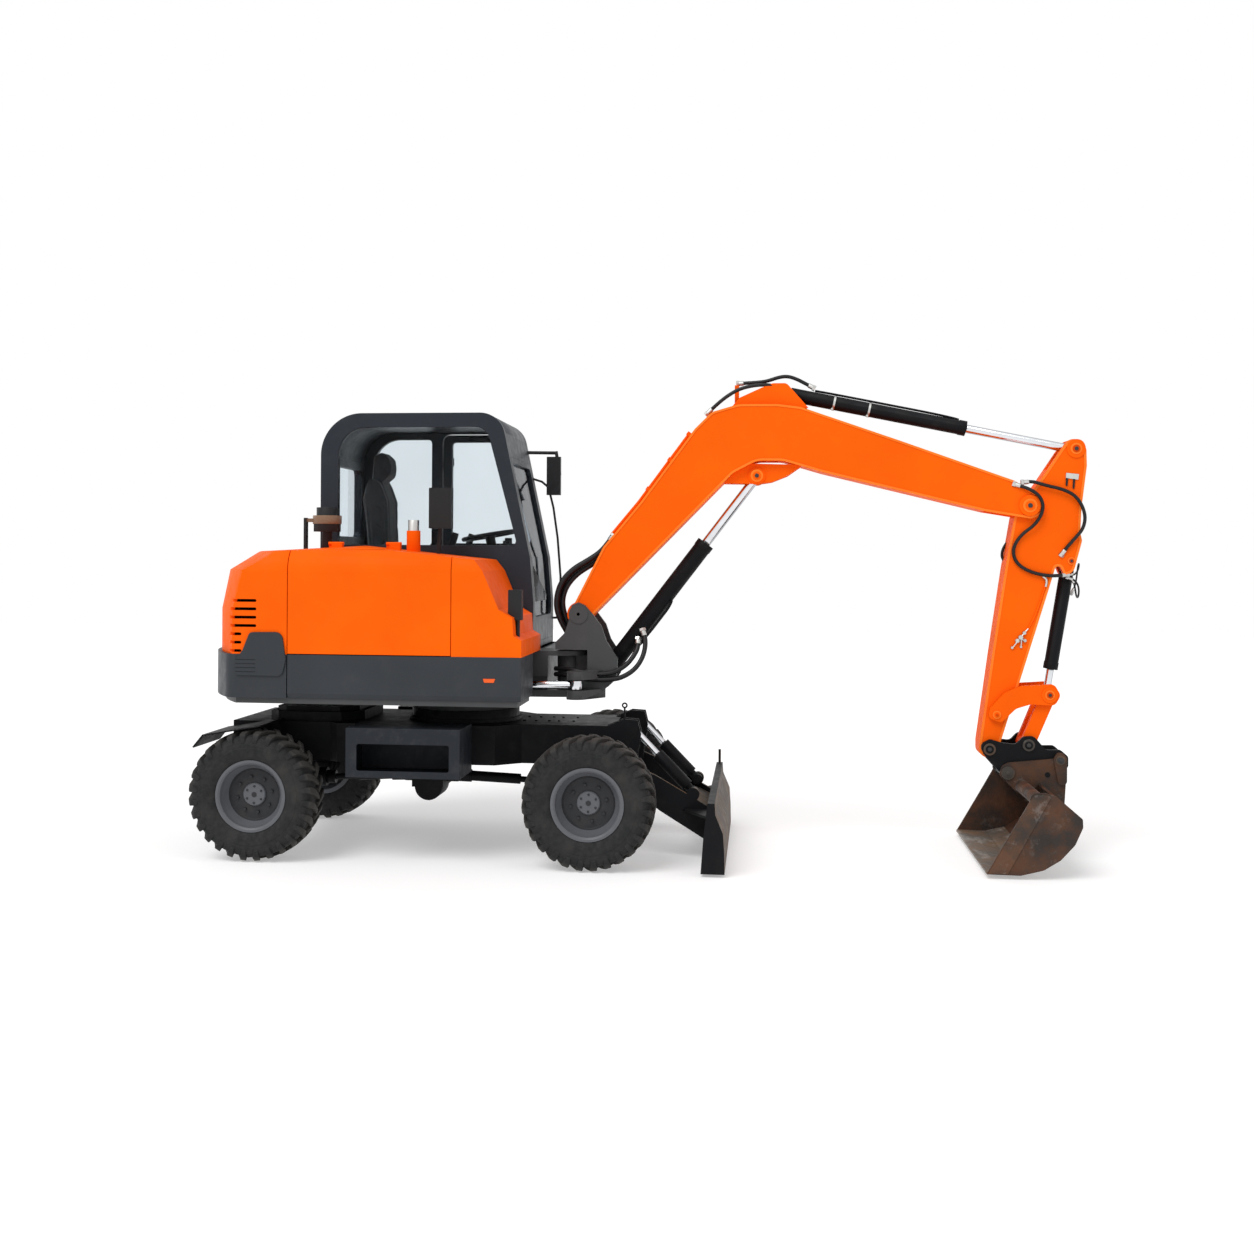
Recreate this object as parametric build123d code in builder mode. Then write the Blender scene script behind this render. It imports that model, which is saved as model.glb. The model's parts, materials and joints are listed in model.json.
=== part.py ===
from build123d import *
from math import cos, hypot, radians, sin, sqrt
import os

# Wheeled excavator with a swing boom, a dozer blade and a ditch cleaning bucket.
# Millimetres. X points forward and is measured from the middle of the wheelbase,
# Y points to the left, Z points up from the ground.
# The pieces are written with X moved, so that the origin lies under the middle of the length.

os.makedirs("parts", exist_ok=True)

# Clearances
pin_gap = 0.1
seat_gap = 0.3
moving_gap = 6

# Wheels
wheelbase = 2100
track = 1615
tyre_radius = 408
tyre_width = 306
bead_radius = 205
flange_height = 19
rim_half_width = 131
flange_thickness = 12
dish_depth = 98
hub_radius = 88
hub_cap_radius = 72
hub_cap_height = 18
spindle_radius = 45
hub_depth = 110
spindle_recess = 18
lug_count = 28
lug_width = 34
lug_angle = 24
lug_middle = 72
lug_inner_end = 85
lug_outer_end = 78
tread_radius = 382
shoulder_radius = 356
sidewall_radius = 315

# Axles and drive line
axle_tube_radius = 72
differential_radius = 148
kingpin_half_track = 640
kingpin_radius = 28
yoke_height = 118
kingpin_socket = 40
knuckle_radius = 66
steering_rod_radius = 22
steering_rod_lead = 172
steering_arm_offset = 60
steering_cylinder_length = 620
steering_cylinder_radius = 38
mount_rear = 110
mount_front = 58
mount_half_width = 150
pinion_radius = 62
front_pinion_reach = 210
rear_pinion_reach = 230
drive_shaft_radius = 34
gearbox_x = -100
gearbox_height = 375
gearbox_flange_reach = 180
gearbox_shaft_height = 440

# Chassis
frame_top = 825
frame_depth = 250
frame_half_width = 500
frame_front_half_width = 355
frame_rear_half_width = 440
frame_rear_x = -1330
frame_wide_x = -620
frame_narrow_x = 560
frame_front_x = 1300
plate = 20
cover_height = 90
cover_rear_x = -1110
cover_front_x = -500
cover_half_width = 400
step_rear_x = -456
step_front_x = 262
step_top = 841
step_bottom = 536
step_side = 900
step_wall = 14
mudguard_thickness = 8

# Blade
blade_half_width = 960
blade_pivot = (1240, 535)
blade_pin_radius = 24
blade_arm_inner = 361
blade_arm_outer = 393
blade_rod_eye = (1268, 815)
blade_barrel_pin = (1665, 408)
blade_cylinder_y = 300
blade_barrel_radius = 40
blade_rod_radius = 21

# Slewing platform
slew_x = 130
slew_ring_radius = 357
slew_ring_height = 75
deck_bottom = 985
deck_thickness = 35
tail_radius = 1625
hood_tail_radius = 1600
platform_half_width = 930
platform_front_x = 642
skirt_top = 1290
skirt_wall = 22
seam_gap = 5
bumper_thickness = 15
rear_seam_x = -826
front_seam_x = 206
hood_wall = 24
cab_side_y = -20
hood_top = 1970
hood_hinge_z = 1982
hood_hinge_places = (-640, -260)
hood_hinge_radius = 11
hood_pin_radius = 5
louvre_top = 1622
louvre_pitch = 52
louvre_radius = 9
louvre_rear_x = -1200
louvre_front_x = -1030
louvre_short_x = -1125
groove_pitch = 25
door_hinge_y = -470

# Cab
cab_left_y = 920
cab_wall = 55
cab_rear_x = -861
cab_bottom = 1292
cab_top = 2860
cab_floor_thickness = 40
cab_base_y = 200
glass_thickness = 6
b_pillar_x = -222
pillar_width = 78
door_gap = 7
hinge_pin_radius = 6

# Swing post
king_x = 820
king_radius = 45
nose_radius = 130
lug_top = 1288
lug_thickness = 32
bracket_half_width = 150
bracket_web_half_width = 95
swing_opening_y = -430
swing_opening_x = 530
lug_bottom = 985
post_hub_radius = 75
post_inner = 142
post_outer = 172
swing_lug_angle = -75
swing_lug_reach = 320
swing_base = (-300, -420)
swing_rod_z = 1080
swing_rod_radius = 25
swing_pin_radius = 24
swing_barrel_radius = 48
swing_barrel_length = 745
swing_rod_inner = 420

# Boom
boom_pivot = (901, 1531)
boom_half_width = 132
boom_pin_radius = 32
boom_barrel_pin = (1075, 1144)
boom_rod_pin = (2052, 2437)
boom_barrel_radius = 56
boom_rod_radius = 30
boom_barrel_length = 1073
eye_half_width = 45
eye_gap = 7
pipe_radius = 10
pipe_offset = 16
pipe_places = (-46, -15, 22)

# Arm
arm_pivot = (3768, 2248)
arm_half_width = 100
arm_panel_depth = 3
arm_pin_radius = 30
arm_barrel_pin = (2204, 2985)
arm_rod_pin = (4055, 2610)
arm_barrel_radius = 46
arm_rod_radius = 27
arm_barrel_length = 1204

# Bucket linkage
bucket_pivot = (3527, 702)
link_pin = (3768, 733)
rocker_pivot = (3572, 921)
rocker_pin = (3897, 1051)
bucket_barrel_pin = (4030, 1899)
bucket_barrel_radius = 43
bucket_rod_radius = 23
bucket_barrel_length = 700
bucket_pin_radius = 27

# Hitch and bucket
hitch_inner = 106
hitch_outer = 136
bucket_ear_inner = 142
bucket_ear_outer = 166
bucket_front_pin = (3636, 558)
bucket_rear_pin = (3957, 646)
bucket_half_width = 745
bucket_side_wall = 16
bucket_shell = 14
tube_radius = 42
tube_centre = (3722, 478)

# The overall length runs from the rear tyres to the tip of the arm's lever
rear_reach = -wheelbase / 2 - tyre_radius
front_reach = 4141
middle_x = (rear_reach + front_reach) / 2


def side(y):
    # Sketch x is X and sketch y is Z, and an extrusion goes towards the right side, -Y
    return Plane(origin=(0, y, 0), x_dir=(1, 0, 0), z_dir=(0, -1, 0))


def slab(points, y_low, y_high, corner=0, mode=Mode.ADD):
    # Plate or block with an outline in the side view
    with BuildSketch(side(y_high)) as face:
        with BuildLine():
            FilletPolyline(*points, radius=corner, close=True)
        make_face()
    extrude(face.sketch, amount=y_high - y_low, mode=mode)


def slabs(points, inner, outer, corner=0, mode=Mode.ADD):
    # The same plate on the left and on the right of the centre line
    slab(points, inner, outer, corner, mode)
    slab(points, -outer, -inner, corner, mode)


def drum(centre, radius, y_low, y_high, mode=Mode.ADD):
    # Round boss, pin or bore that lies across the machine
    with BuildSketch(side(y_high)) as face:
        with Locations(centre):
            Circle(radius)
    extrude(face.sketch, amount=y_high - y_low, mode=mode)


def drums(centre, radius, inner, outer, mode=Mode.ADD):
    drum(centre, radius, inner, outer, mode)
    drum(centre, radius, -outer, -inner, mode)


def link(start, end, radius_start, radius_end, y_low, y_high, mode=Mode.ADD):
    # Plate with two round ends and straight tangent sides
    with BuildSketch(side(y_high)) as face:
        with Locations(start):
            Circle(radius_start)
        with Locations(end):
            Circle(radius_end)
        make_hull()
    extrude(face.sketch, amount=y_high - y_low, mode=mode)


def bar(start, end, radius, mode=Mode.ADD):
    # Round bar between two points in space
    run = Vector(*end) - Vector(*start)
    with BuildSketch(Plane(origin=start, z_dir=run)) as face:
        Circle(radius)
    extrude(face.sketch, amount=run.length, mode=mode)


def block(x_range, y_range, z_range, mode=Mode.ADD):
    middle = tuple(sum(pair) / 2 for pair in (x_range, y_range, z_range))
    spans = [pair[1] - pair[0] for pair in (x_range, y_range, z_range)]
    with Locations(middle):
        Box(*spans, mode=mode)


def column(x, y, radius, z_low, z_high, mode=Mode.ADD):
    with BuildSketch(Plane.XY.offset(z_low)) as face:
        with Locations((x, y)):
            Circle(radius)
    extrude(face.sketch, amount=z_high - z_low, mode=mode)


def floor_plate(points, z_low, z_high, corner=0, mode=Mode.ADD):
    # Plate or block with an outline in the plan view
    with BuildSketch(Plane.XY.offset(z_low)) as face:
        with BuildLine():
            FilletPolyline(*points, radius=corner, close=True)
        make_face()
    extrude(face.sketch, amount=z_high - z_low, mode=mode)


def panel(points, corner, margin, half_width, depth):
    # Shallow recess in both side faces, which leaves a lip along the outline
    for y in (half_width, -half_width + depth):
        with BuildSketch(side(y)) as face:
            with BuildLine():
                FilletPolyline(*points, radius=corner, close=True)
            make_face()
            offset(amount=-margin, kind=Kind.INTERSECTION)
        extrude(face.sketch, amount=depth, mode=Mode.SUBTRACT)


def toward(start, end, distance):
    # Point at a distance from start on the line to end, in the side view
    run = hypot(end[0] - start[0], end[1] - start[1])
    share = distance / run
    return (start[0] + (end[0] - start[0]) * share, start[1] + (end[1] - start[1]) * share)


def write(piece, label, place=(0, 0, 0)):
    placed = piece.part.moved(Location((place[0] - middle_x, place[1], place[2])))
    placed.label = label
    export_step(placed, f"parts/{label}.step")


# Wheels: one tyre and one dished rim with its hub for each corner
wheel_corners = [
    # name, X, side
    ("front_left", wheelbase / 2, 1),
    ("front_right", wheelbase / 2, -1),
    ("rear_left", -wheelbase / 2, 1),
    ("rear_right", -wheelbase / 2, -1),
]
axle_height = tyre_radius
half_tyre = tyre_width / 2
disc_face = rim_half_width - dish_depth
bead_half_width = rim_half_width - flange_thickness - seat_gap


def wheel_plane(x, hand):
    # Sketch x runs outwards along the axle from the wheel's middle, sketch y is the radius
    return Plane(origin=(x, hand * track / 2, axle_height), x_dir=(0, hand, 0), z_dir=(hand, 0, 0))


def wheel_axis(x, hand):
    return Axis((x, hand * track / 2, axle_height), (0, 1, 0))


# One tyre about the axle line, with a flat facet for each pitch of its tread
tread_sections = [
    # distance from the middle plane, radius
    (half_tyre, sidewall_radius),
    (half_tyre - 7, shoulder_radius),
    (half_tyre - 83, tread_radius),
]
# The top of a lug is flat, so its inner corners set the tyre's radius
lug_tilt = radians(lug_angle)
lug_corner = lug_inner_end * sin(lug_tilt) + lug_width / 2 * cos(lug_tilt)
lug_top_radius = sqrt(tyre_radius**2 - lug_corner**2)
lug_profile = [
    # along the lug from its middle, radius
    (-lug_inner_end, tread_radius - 14),
    (-lug_inner_end, lug_top_radius),
    (lug_outer_end - 30, lug_top_radius - 2),
    (lug_outer_end, tyre_radius - 32),
    (lug_outer_end, tyre_radius - 70),
    (lug_outer_end - 30, tyre_radius - 70),
]
flat_share = 1 / cos(radians(180 / lug_count))


def tyre_loft(sections, mode=Mode.ADD):
    rings = []
    for y, radius in sections:
        with BuildSketch(Plane(origin=(0, y, 0), x_dir=(0, 0, 1), z_dir=(0, 1, 0))) as ring:
            RegularPolygon(radius, lug_count)
        rings.append(ring.sketch.face())
    loft(rings, ruled=True, mode=mode)


with BuildPart() as tyre:
    tyre_loft([(-y, radius) for y, radius in tread_sections] + tread_sections[::-1])
    for row, shift in ((1, 0), (-1, 0.5)):
        for index in range(lug_count):
            turn = radians(360 * (index + shift) / lug_count)
            radial = Vector(sin(turn), 0, cos(turn))
            around = Vector(cos(turn), 0, -sin(turn))
            along = Vector(0, row * cos(lug_tilt), 0) - around * sin(lug_tilt)
            plane = Plane(origin=(0, row * lug_middle, 0), x_dir=along, z_dir=along.cross(radial))
            with BuildSketch(plane):
                with BuildLine():
                    Polyline(*lug_profile, close=True)
                make_face()
    extrude(amount=lug_width / 2, both=True)
    for hand in (1, -1):
        tyre_loft(
            [
                (hand * bead_half_width, (bead_radius + flange_height + 3) * flat_share),
                (hand * half_tyre, sidewall_radius - 30),
            ],
            Mode.SUBTRACT,
        )
    tyre_loft(
        [(hand * (bead_half_width + 1), (bead_radius + seat_gap) * flat_share) for hand in (-1,
                1)], Mode.SUBTRACT
    )

for name, x, hand in wheel_corners:
    write(tyre, f"tyre_{name}", (x, hand * track / 2, axle_height))

    with BuildPart() as rim:
        with BuildSketch(wheel_plane(x, hand)):
            with BuildLine():
                Polyline(
                    (disc_face - hub_depth, spindle_radius + pin_gap),
                    (disc_face - 16, spindle_radius + pin_gap),
                    (disc_face - 16, 0),
                    (disc_face + hub_cap_height, 0),
                    (disc_face + hub_cap_height, hub_cap_radius - 6),
                    (disc_face + hub_cap_height - 6, hub_cap_radius),
                    (disc_face, hub_cap_radius),
                    (disc_face, bead_radius - 52),
                    (disc_face + 14, bead_radius - 40),
                    (rim_half_width - 30, bead_radius - 12),
                    (rim_half_width - 8, bead_radius - 8),
                    (rim_half_width, bead_radius + 4),
                    (rim_half_width, bead_radius + flange_height),
                    (rim_half_width - flange_thickness, bead_radius + flange_height),
                    (rim_half_width - flange_thickness, bead_radius),
                    (-rim_half_width + flange_thickness, bead_radius),
                    (-rim_half_width + flange_thickness, bead_radius + flange_height),
                    (-rim_half_width, bead_radius + flange_height),
                    (-rim_half_width, bead_radius - 10),
                    (disc_face - 14, bead_radius - 24),
                    (disc_face - 14, hub_radius),
                    (disc_face - hub_depth, hub_radius),
                    close=True,
                )
            make_face()
        revolve(axis=wheel_axis(x, hand))
    write(rim, f"wheel_{name}")

# Chassis: a box frame, narrow at the front to let the wheels steer
frame_bottom = frame_top - frame_depth
with BuildPart() as chassis_frame:
    floor_plate(
        [
            (frame_rear_x, -frame_rear_half_width),
            (frame_wide_x - 60, -frame_rear_half_width),
            (frame_wide_x, -frame_half_width),
            (frame_narrow_x - 150, -frame_half_width),
            (frame_narrow_x, -frame_front_half_width),
            (frame_front_x, -frame_front_half_width),
            (frame_front_x, frame_front_half_width),
            (frame_narrow_x, frame_front_half_width),
            (frame_narrow_x - 150, frame_half_width),
            (frame_wide_x, frame_half_width),
            (frame_wide_x - 60, frame_rear_half_width),
            (frame_rear_x, frame_rear_half_width),
        ],
        frame_bottom,
        frame_top,
    )
    # The nose is open between its side cheeks for the blade cylinders
    cheek_bottom = blade_pivot[1] - 60
    nose_x = wheelbase / 2 + 62
    block((nose_x, frame_front_x + 10), (-frame_front_half_width - 10, frame_front_half_width + 10),
          (frame_bottom - 10, frame_top + 10), mode=Mode.SUBTRACT)
    cheek = [
        (nose_x, frame_bottom),
        (nose_x + 75, frame_bottom),
        (blade_pivot[0] - 42, cheek_bottom),
        (blade_pivot[0] + 55, cheek_bottom),
        (blade_pivot[0] + 60, blade_pivot[1] + 60),
        (blade_rod_eye[0] + 62, blade_rod_eye[1] - 40),
        (blade_rod_eye[0] + 40, blade_rod_eye[1] + 50),
        (blade_rod_eye[0] - 50, blade_rod_eye[1] + 55),
        (nose_x, frame_top),
    ]
    cheek_outer = blade_arm_inner - moving_gap
    slabs(cheek, cheek_outer - plate, cheek_outer)
    inner_cheek = blade_cylinder_y - (cheek_outer - plate - blade_cylinder_y)
    slabs(cheek, inner_cheek - plate, inner_cheek)
    block((nose_x, nose_x + 40), (-inner_cheek, inner_cheek), (frame_bottom, frame_top))
    drums(blade_pivot, blade_pin_radius, cheek_outer - plate, blade_arm_outer + 14)
    drums(blade_rod_eye, 44, cheek_outer - plate, cheek_outer + 4)
    # Axle mounts under the frame
    for x in (-wheelbase / 2, wheelbase / 2):
        block((x - mount_rear, x + mount_front), (-mount_half_width, mount_half_width),
              (axle_height + differential_radius, frame_bottom))
    # Domed cover over the rear of the frame
    for inset, rise in ((0, cover_height - 30), (40, cover_height)):
        floor_plate(
            [
                (cover_rear_x + inset, -cover_half_width + 70 + inset / 2),
                (cover_rear_x + 70 + inset, -cover_half_width + inset),
                (cover_front_x - 120 - inset / 2, -cover_half_width + inset),
                (cover_front_x - inset, -cover_half_width + 150 + inset / 2),
                (cover_front_x - inset, cover_half_width - 150 - inset / 2),
                (cover_front_x - 120 - inset / 2, cover_half_width - inset),
                (cover_rear_x + 70 + inset, cover_half_width - inset),
                (cover_rear_x + inset, cover_half_width - 70 - inset / 2),
            ],
            frame_top,
            frame_top + rise,
        )
    # Lower half of the slewing ring
    column(slew_x, 0, slew_ring_radius, frame_top, frame_top + slew_ring_height)
    column(slew_x, 0, slew_ring_radius + 18, frame_top, frame_top + 22)
    # Hook rod on the right cheek
    hook_x = blade_rod_eye[0] - 44
    hook_y = -cheek_outer + plate / 2
    hook_z = blade_rod_eye[1] + 130
    bar((hook_x, hook_y, hook_z - 90), (hook_x, hook_y, hook_z), 6)
    with Locations(Location((hook_x, hook_y, hook_z + 13), (90, 0, 0))):
        Torus(14, 5)
write(chassis_frame, "chassis_frame")

# Steps: an open box on each side with a window in its outer face
step_inner = frame_half_width
step_outline = [
    (step_rear_x, step_bottom),
    (step_front_x, step_bottom),
    (step_front_x, step_top),
    (step_rear_x, step_top),
]
step_room = [
    (step_rear_x + step_wall, step_bottom + step_wall),
    (step_front_x - step_wall, step_bottom + step_wall),
    (step_front_x - step_wall, step_top - step_wall),
    (step_rear_x + step_wall, step_top - step_wall),
]
step_window = [
    (step_rear_x + 69, step_bottom + 42),
    (step_front_x - 69, step_bottom + 42),
    (step_front_x - 69, step_top - 98),
    (step_rear_x + 69, step_top - 98),
]
with BuildPart() as steps:
    slabs(step_outline, step_inner, step_side)
    slabs(step_room, step_inner + 40, step_side - step_wall, mode=Mode.SUBTRACT)
    slabs(step_window, step_side - step_wall - 5, step_side + 5, 14, mode=Mode.SUBTRACT)
write(steps, "steps")

guard_top = tyre_radius * 2 + 24
with BuildPart() as mudguards:
    guard = [
        (-wheelbase / 2 - 370, guard_top - 140),
        (-wheelbase / 2 - 310, guard_top - 66),
        (-wheelbase / 2 + 60, guard_top),
        (-wheelbase / 2 + 60, guard_top + mudguard_thickness),
        (-wheelbase / 2 - 314, guard_top - 56),
        (-wheelbase / 2 - 378, guard_top - 134),
    ]
    slabs(guard, frame_rear_half_width, platform_half_width)
    hanger = [
        (-wheelbase / 2 - 100, frame_top - 90),
        (-wheelbase / 2 + 40, frame_top - 90),
        (-wheelbase / 2 + 40, guard_top),
        (-wheelbase / 2 - 100, guard_top - 26),
    ]
    slabs(hanger, frame_rear_half_width, frame_rear_half_width + 30)
write(mudguards, "mudguards")

# Axles
hub_inner_face = track / 2 + disc_face - hub_depth - 2
spindle_end = track / 2 + disc_face - spindle_recess
with BuildPart() as rear_axle:
    x = -wheelbase / 2
    with BuildSketch(Plane(origin=(x, 0, axle_height), x_dir=(0, 1, 0), z_dir=(1, 0, 0))):
        with BuildLine():
            Polyline(
                (-spindle_end, 0),
                (-spindle_end, spindle_radius),
                (-hub_inner_face, spindle_radius),
                (-hub_inner_face, hub_radius),
                (-hub_inner_face + 68, hub_radius),
                (-hub_inner_face + 88, axle_tube_radius),
                (-180, axle_tube_radius),
                (-120, differential_radius - 20),
                (-60, differential_radius),
                (60, differential_radius),
                (120, differential_radius - 20),
                (180, axle_tube_radius),
                (hub_inner_face - 88, axle_tube_radius),
                (hub_inner_face - 68, hub_radius),
                (hub_inner_face, hub_radius),
                (hub_inner_face, spindle_radius),
                (spindle_end, spindle_radius),
                (spindle_end, 0),
                close=True,
            )
        make_face()
    revolve(axis=Axis((x, 0, axle_height), (0, 1, 0)))
    bar((x, 0, axle_height), (x + rear_pinion_reach, 0, axle_height), pinion_radius)
    block((x - mount_rear, x + mount_front), (-mount_half_width, mount_half_width),
          (axle_height, axle_height + differential_radius))
write(rear_axle, "rear_axle")

yoke_reach = kingpin_half_track + 34
with BuildPart() as front_axle:
    x = wheelbase / 2
    with BuildSketch(Plane(origin=(x, 0, axle_height), x_dir=(0, 1, 0), z_dir=(1, 0, 0))):
        with BuildLine():
            Polyline(
                (-kingpin_half_track + 84, 0),
                (-kingpin_half_track + 84, axle_tube_radius),
                (-180, axle_tube_radius),
                (-120, differential_radius - 20),
                (-60, differential_radius),
                (60, differential_radius),
                (120, differential_radius - 20),
                (180, axle_tube_radius),
                (kingpin_half_track - 84, axle_tube_radius),
                (kingpin_half_track - 84, 0),
                close=True,
            )
        make_face()
    revolve(axis=Axis((x, 0, axle_height), (0, 1, 0)))
    bar((x, 0, axle_height), (x - front_pinion_reach, 0, axle_height), pinion_radius)
    block((x - mount_rear, x + mount_front), (-mount_half_width, mount_half_width),
          (axle_height, axle_height + differential_radius))
    # Yokes that hold the kingpins above and below each knuckle
    for hand in (1, -1):
        with BuildSketch(Plane(origin=(x - 42, 0, axle_height), x_dir=(0, 1, 0), z_dir=(1, 0, 0))) as yoke:
            with BuildLine():
                Polyline(
                    (hand * (kingpin_half_track - 150), -60),
                    (hand * (kingpin_half_track - 96), -yoke_height),
                    (hand * yoke_reach, -yoke_height),
                    (hand * yoke_reach, -yoke_height + 26),
                    (hand * (kingpin_half_track - 84), -yoke_height + 26),
                    (hand * (kingpin_half_track - 84), yoke_height - 26),
                    (hand * yoke_reach, yoke_height - 26),
                    (hand * yoke_reach, yoke_height),
                    (hand * (kingpin_half_track - 96), yoke_height),
                    (hand * (kingpin_half_track - 150), 60),
                    close=True,
                )
            make_face()
        extrude(yoke.sketch, amount=84)
        column(x, hand * kingpin_half_track, kingpin_radius, axle_height - yoke_height,
               axle_height - kingpin_socket)
        column(x, hand * kingpin_half_track, kingpin_radius, axle_height + kingpin_socket,
               axle_height + yoke_height)
    # Steering cylinder in front of the axle, bored through for its rod
    rod_x = x + steering_rod_lead
    cylinder_ends = [(rod_x, hand * steering_cylinder_length / 2, axle_height) for hand in (1, -1)]
    bar(*cylinder_ends, steering_cylinder_radius)
    slabs(
        [
            (x + 40, axle_height + 20),
            (rod_x, axle_height + 20),
            (rod_x + 20, axle_height + 56),
            (x + 40, axle_height + 56),
        ],
        235,
        275,
    )
    bar(*cylinder_ends, steering_rod_radius + pin_gap, mode=Mode.SUBTRACT)
write(front_axle, "front_axle")

knuckle_half_height = yoke_height - 26 - seat_gap
rod_end = kingpin_half_track - steering_arm_offset
for name, hand in (("left", 1), ("right", -1)):
    with BuildPart() as knuckle:
        x = wheelbase / 2
        y = hand * kingpin_half_track
        column(x, y, knuckle_radius, axle_height - knuckle_half_height, axle_height + knuckle_half_height)
        bar((x, y, axle_height), (x, hand * hub_inner_face, axle_height), hub_radius - 16)
        bar((x, y, axle_height), (x, hand * spindle_end, axle_height), spindle_radius)
        # Steering arm, under the end of the steering rod
        floor_plate(
            [
                (x + 98, y - hand * 26),
                (x + 30, y - hand * 20),
                (x + 30, y + hand * 34),
                (rod_x + 26, hand * (rod_end + 24)),
                (rod_x + 26, hand * (rod_end - 26)),
                (rod_x - 22, hand * (rod_end - 26)),
            ],
            axle_height - 62,
            axle_height - 38,
        )
        for low, high in ((-yoke_height, -kingpin_socket + seat_gap),
                          (kingpin_socket - seat_gap, yoke_height)):
            column(x, y, kingpin_radius + pin_gap, axle_height + low, axle_height + high,
                   mode=Mode.SUBTRACT)
    write(knuckle, f"knuckle_{name}")

with BuildPart() as steering_rod:
    bar((rod_x, -rod_end, axle_height), (rod_x, rod_end, axle_height), steering_rod_radius)
    for hand in (1, -1):
        column(rod_x, hand * rod_end, steering_rod_radius + 8, axle_height - 30, axle_height + 30)
write(steering_rod, "steering_rod")

# Gearbox under the frame and the shafts to the axles
shaft_ends = [
    # direction, length of the tube, X of the axle's flange
    (1, 420, wheelbase / 2 - front_pinion_reach - seat_gap),
    (-1, 320, -wheelbase / 2 + rear_pinion_reach + seat_gap),
]
with BuildPart() as drive_line:
    block((gearbox_x - 105, gearbox_x + 105), (-150, 150), (gearbox_height, frame_bottom))
    drum((gearbox_x, gearbox_height), 92, -120, 120)
    bar((gearbox_x - gearbox_flange_reach, 0, gearbox_shaft_height),
        (gearbox_x + gearbox_flange_reach, 0, gearbox_shaft_height), 45)
    for hand, tube, flange_x in shaft_ends:
        start = (gearbox_x + hand * gearbox_flange_reach, 0, gearbox_shaft_height)
        end = (flange_x - hand * 40, 0, axle_height)
        tube_start = (start[0] + hand * 90, 0, gearbox_shaft_height - 3)
        tube_end = (start[0] + hand * tube, 0, axle_height + 15)
        bar(start, end, 20)
        bar((start[0] - hand * 5, 0, gearbox_shaft_height), tube_start, 42)
        bar(tube_start, tube_end, drive_shaft_radius)
        bar((flange_x - hand * 60, 0, axle_height), (flange_x, 0, axle_height), 44)
write(drive_line, "drive_line")

# Blade: a mouldboard with two push arms
with BuildPart() as blade:
    slab(
        [(1736, 18), (1879, 18), (1876, 150), (1868, 262), (1822, 372), (1818, 440), (1775, 440),
         (1752, 240)],
        -blade_half_width,
        blade_half_width,
    )
    arm_outline = [
        (blade_pivot[0] - 50, blade_pivot[1] - 35),
        (1454, 299),
        (1745, 122),
        (1765, 330),
        (1428, 521),
        (blade_pivot[0] + 20, blade_pivot[1] + 58),
        (blade_pivot[0] - 50, blade_pivot[1] + 40),
    ]
    slabs(arm_outline, blade_arm_inner, blade_arm_outer)
    slab([(1560, 300), (1600, 276), (1750, 190), (1760, 300), (1640, 365)], -blade_arm_inner,
         blade_arm_inner)
    drums(blade_barrel_pin, 40, blade_arm_inner - 24, blade_arm_outer)
    drums(blade_barrel_pin, blade_pin_radius - 2, blade_cylinder_y - 34, blade_arm_inner)
    drums(blade_pivot, blade_pin_radius + pin_gap, 0, blade_arm_outer + 20, mode=Mode.SUBTRACT)
    # Braces from the arms out to the mouldboard's ends
    for hand in (1, -1):
        floor_plate(
            [(1600, hand * (blade_arm_outer - 4)), (1770, hand * (blade_arm_outer - 4)),
             (1770, hand * 700)],
            300,
            316,
        )
    column(1797, blade_half_width - 30, 9, 440, 535)
write(blade, "blade")

cylinder_bend = toward(blade_barrel_pin, blade_rod_eye, 60)
blade_barrel_end = toward(blade_barrel_pin, blade_rod_eye, 330)
with BuildPart() as blade_barrels:
    for hand in (1, -1):
        y = hand * blade_cylinder_y
        drum(blade_barrel_pin, 34, y - 28, y + 28)
        bar((blade_barrel_pin[0], y, blade_barrel_pin[1]), (cylinder_bend[0], y, cylinder_bend[1]), 26)
        bar((cylinder_bend[0], y, cylinder_bend[1]), (blade_barrel_end[0], y, blade_barrel_end[1]),
            blade_barrel_radius)
        bar((cylinder_bend[0], y, cylinder_bend[1]), (blade_barrel_end[0], y, blade_barrel_end[1]),
            blade_rod_radius + pin_gap, mode=Mode.SUBTRACT)
        drum(blade_barrel_pin, blade_pin_radius - 2 + pin_gap, y - 40, y + 40, mode=Mode.SUBTRACT)
write(blade_barrels, "blade_barrels")

blade_rod_inner = toward(blade_barrel_pin, blade_rod_eye, 190)
with BuildPart() as blade_rods:
    for hand in (1, -1):
        y = hand * blade_cylinder_y
        bar((blade_rod_inner[0], y, blade_rod_inner[1]), (blade_rod_eye[0], y, blade_rod_eye[1]),
            blade_rod_radius)
        drum(blade_rod_eye, 36, y - 26, y + 26)
        drum(blade_rod_eye, 18, y - 30, y + 30, mode=Mode.SUBTRACT)
write(blade_rods, "blade_rods")

# Slewing platform: upper ring, deck and nose bracket
band_low = swing_rod_z - 45
band_high = swing_rod_z + 40
deck_top = deck_bottom + deck_thickness


def tail_plate(radius, half_width, front_x, z_low, z_high):
    # Plate or block with a round tail about the slewing axis
    tail_x = slew_x - sqrt(radius**2 - half_width**2)
    with BuildSketch(Plane.XY.offset(z_low)) as face:
        with BuildLine():
            ThreePointArc((tail_x, half_width), (slew_x - radius, 0), (tail_x, -half_width))
            Polyline((tail_x, -half_width), (front_x, -half_width), (front_x, half_width),
                     (tail_x, half_width))
        make_face()
    extrude(face.sketch, amount=z_high - z_low)


bracket_rear_x = 380
bracket_front_x = king_x - 120


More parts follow.
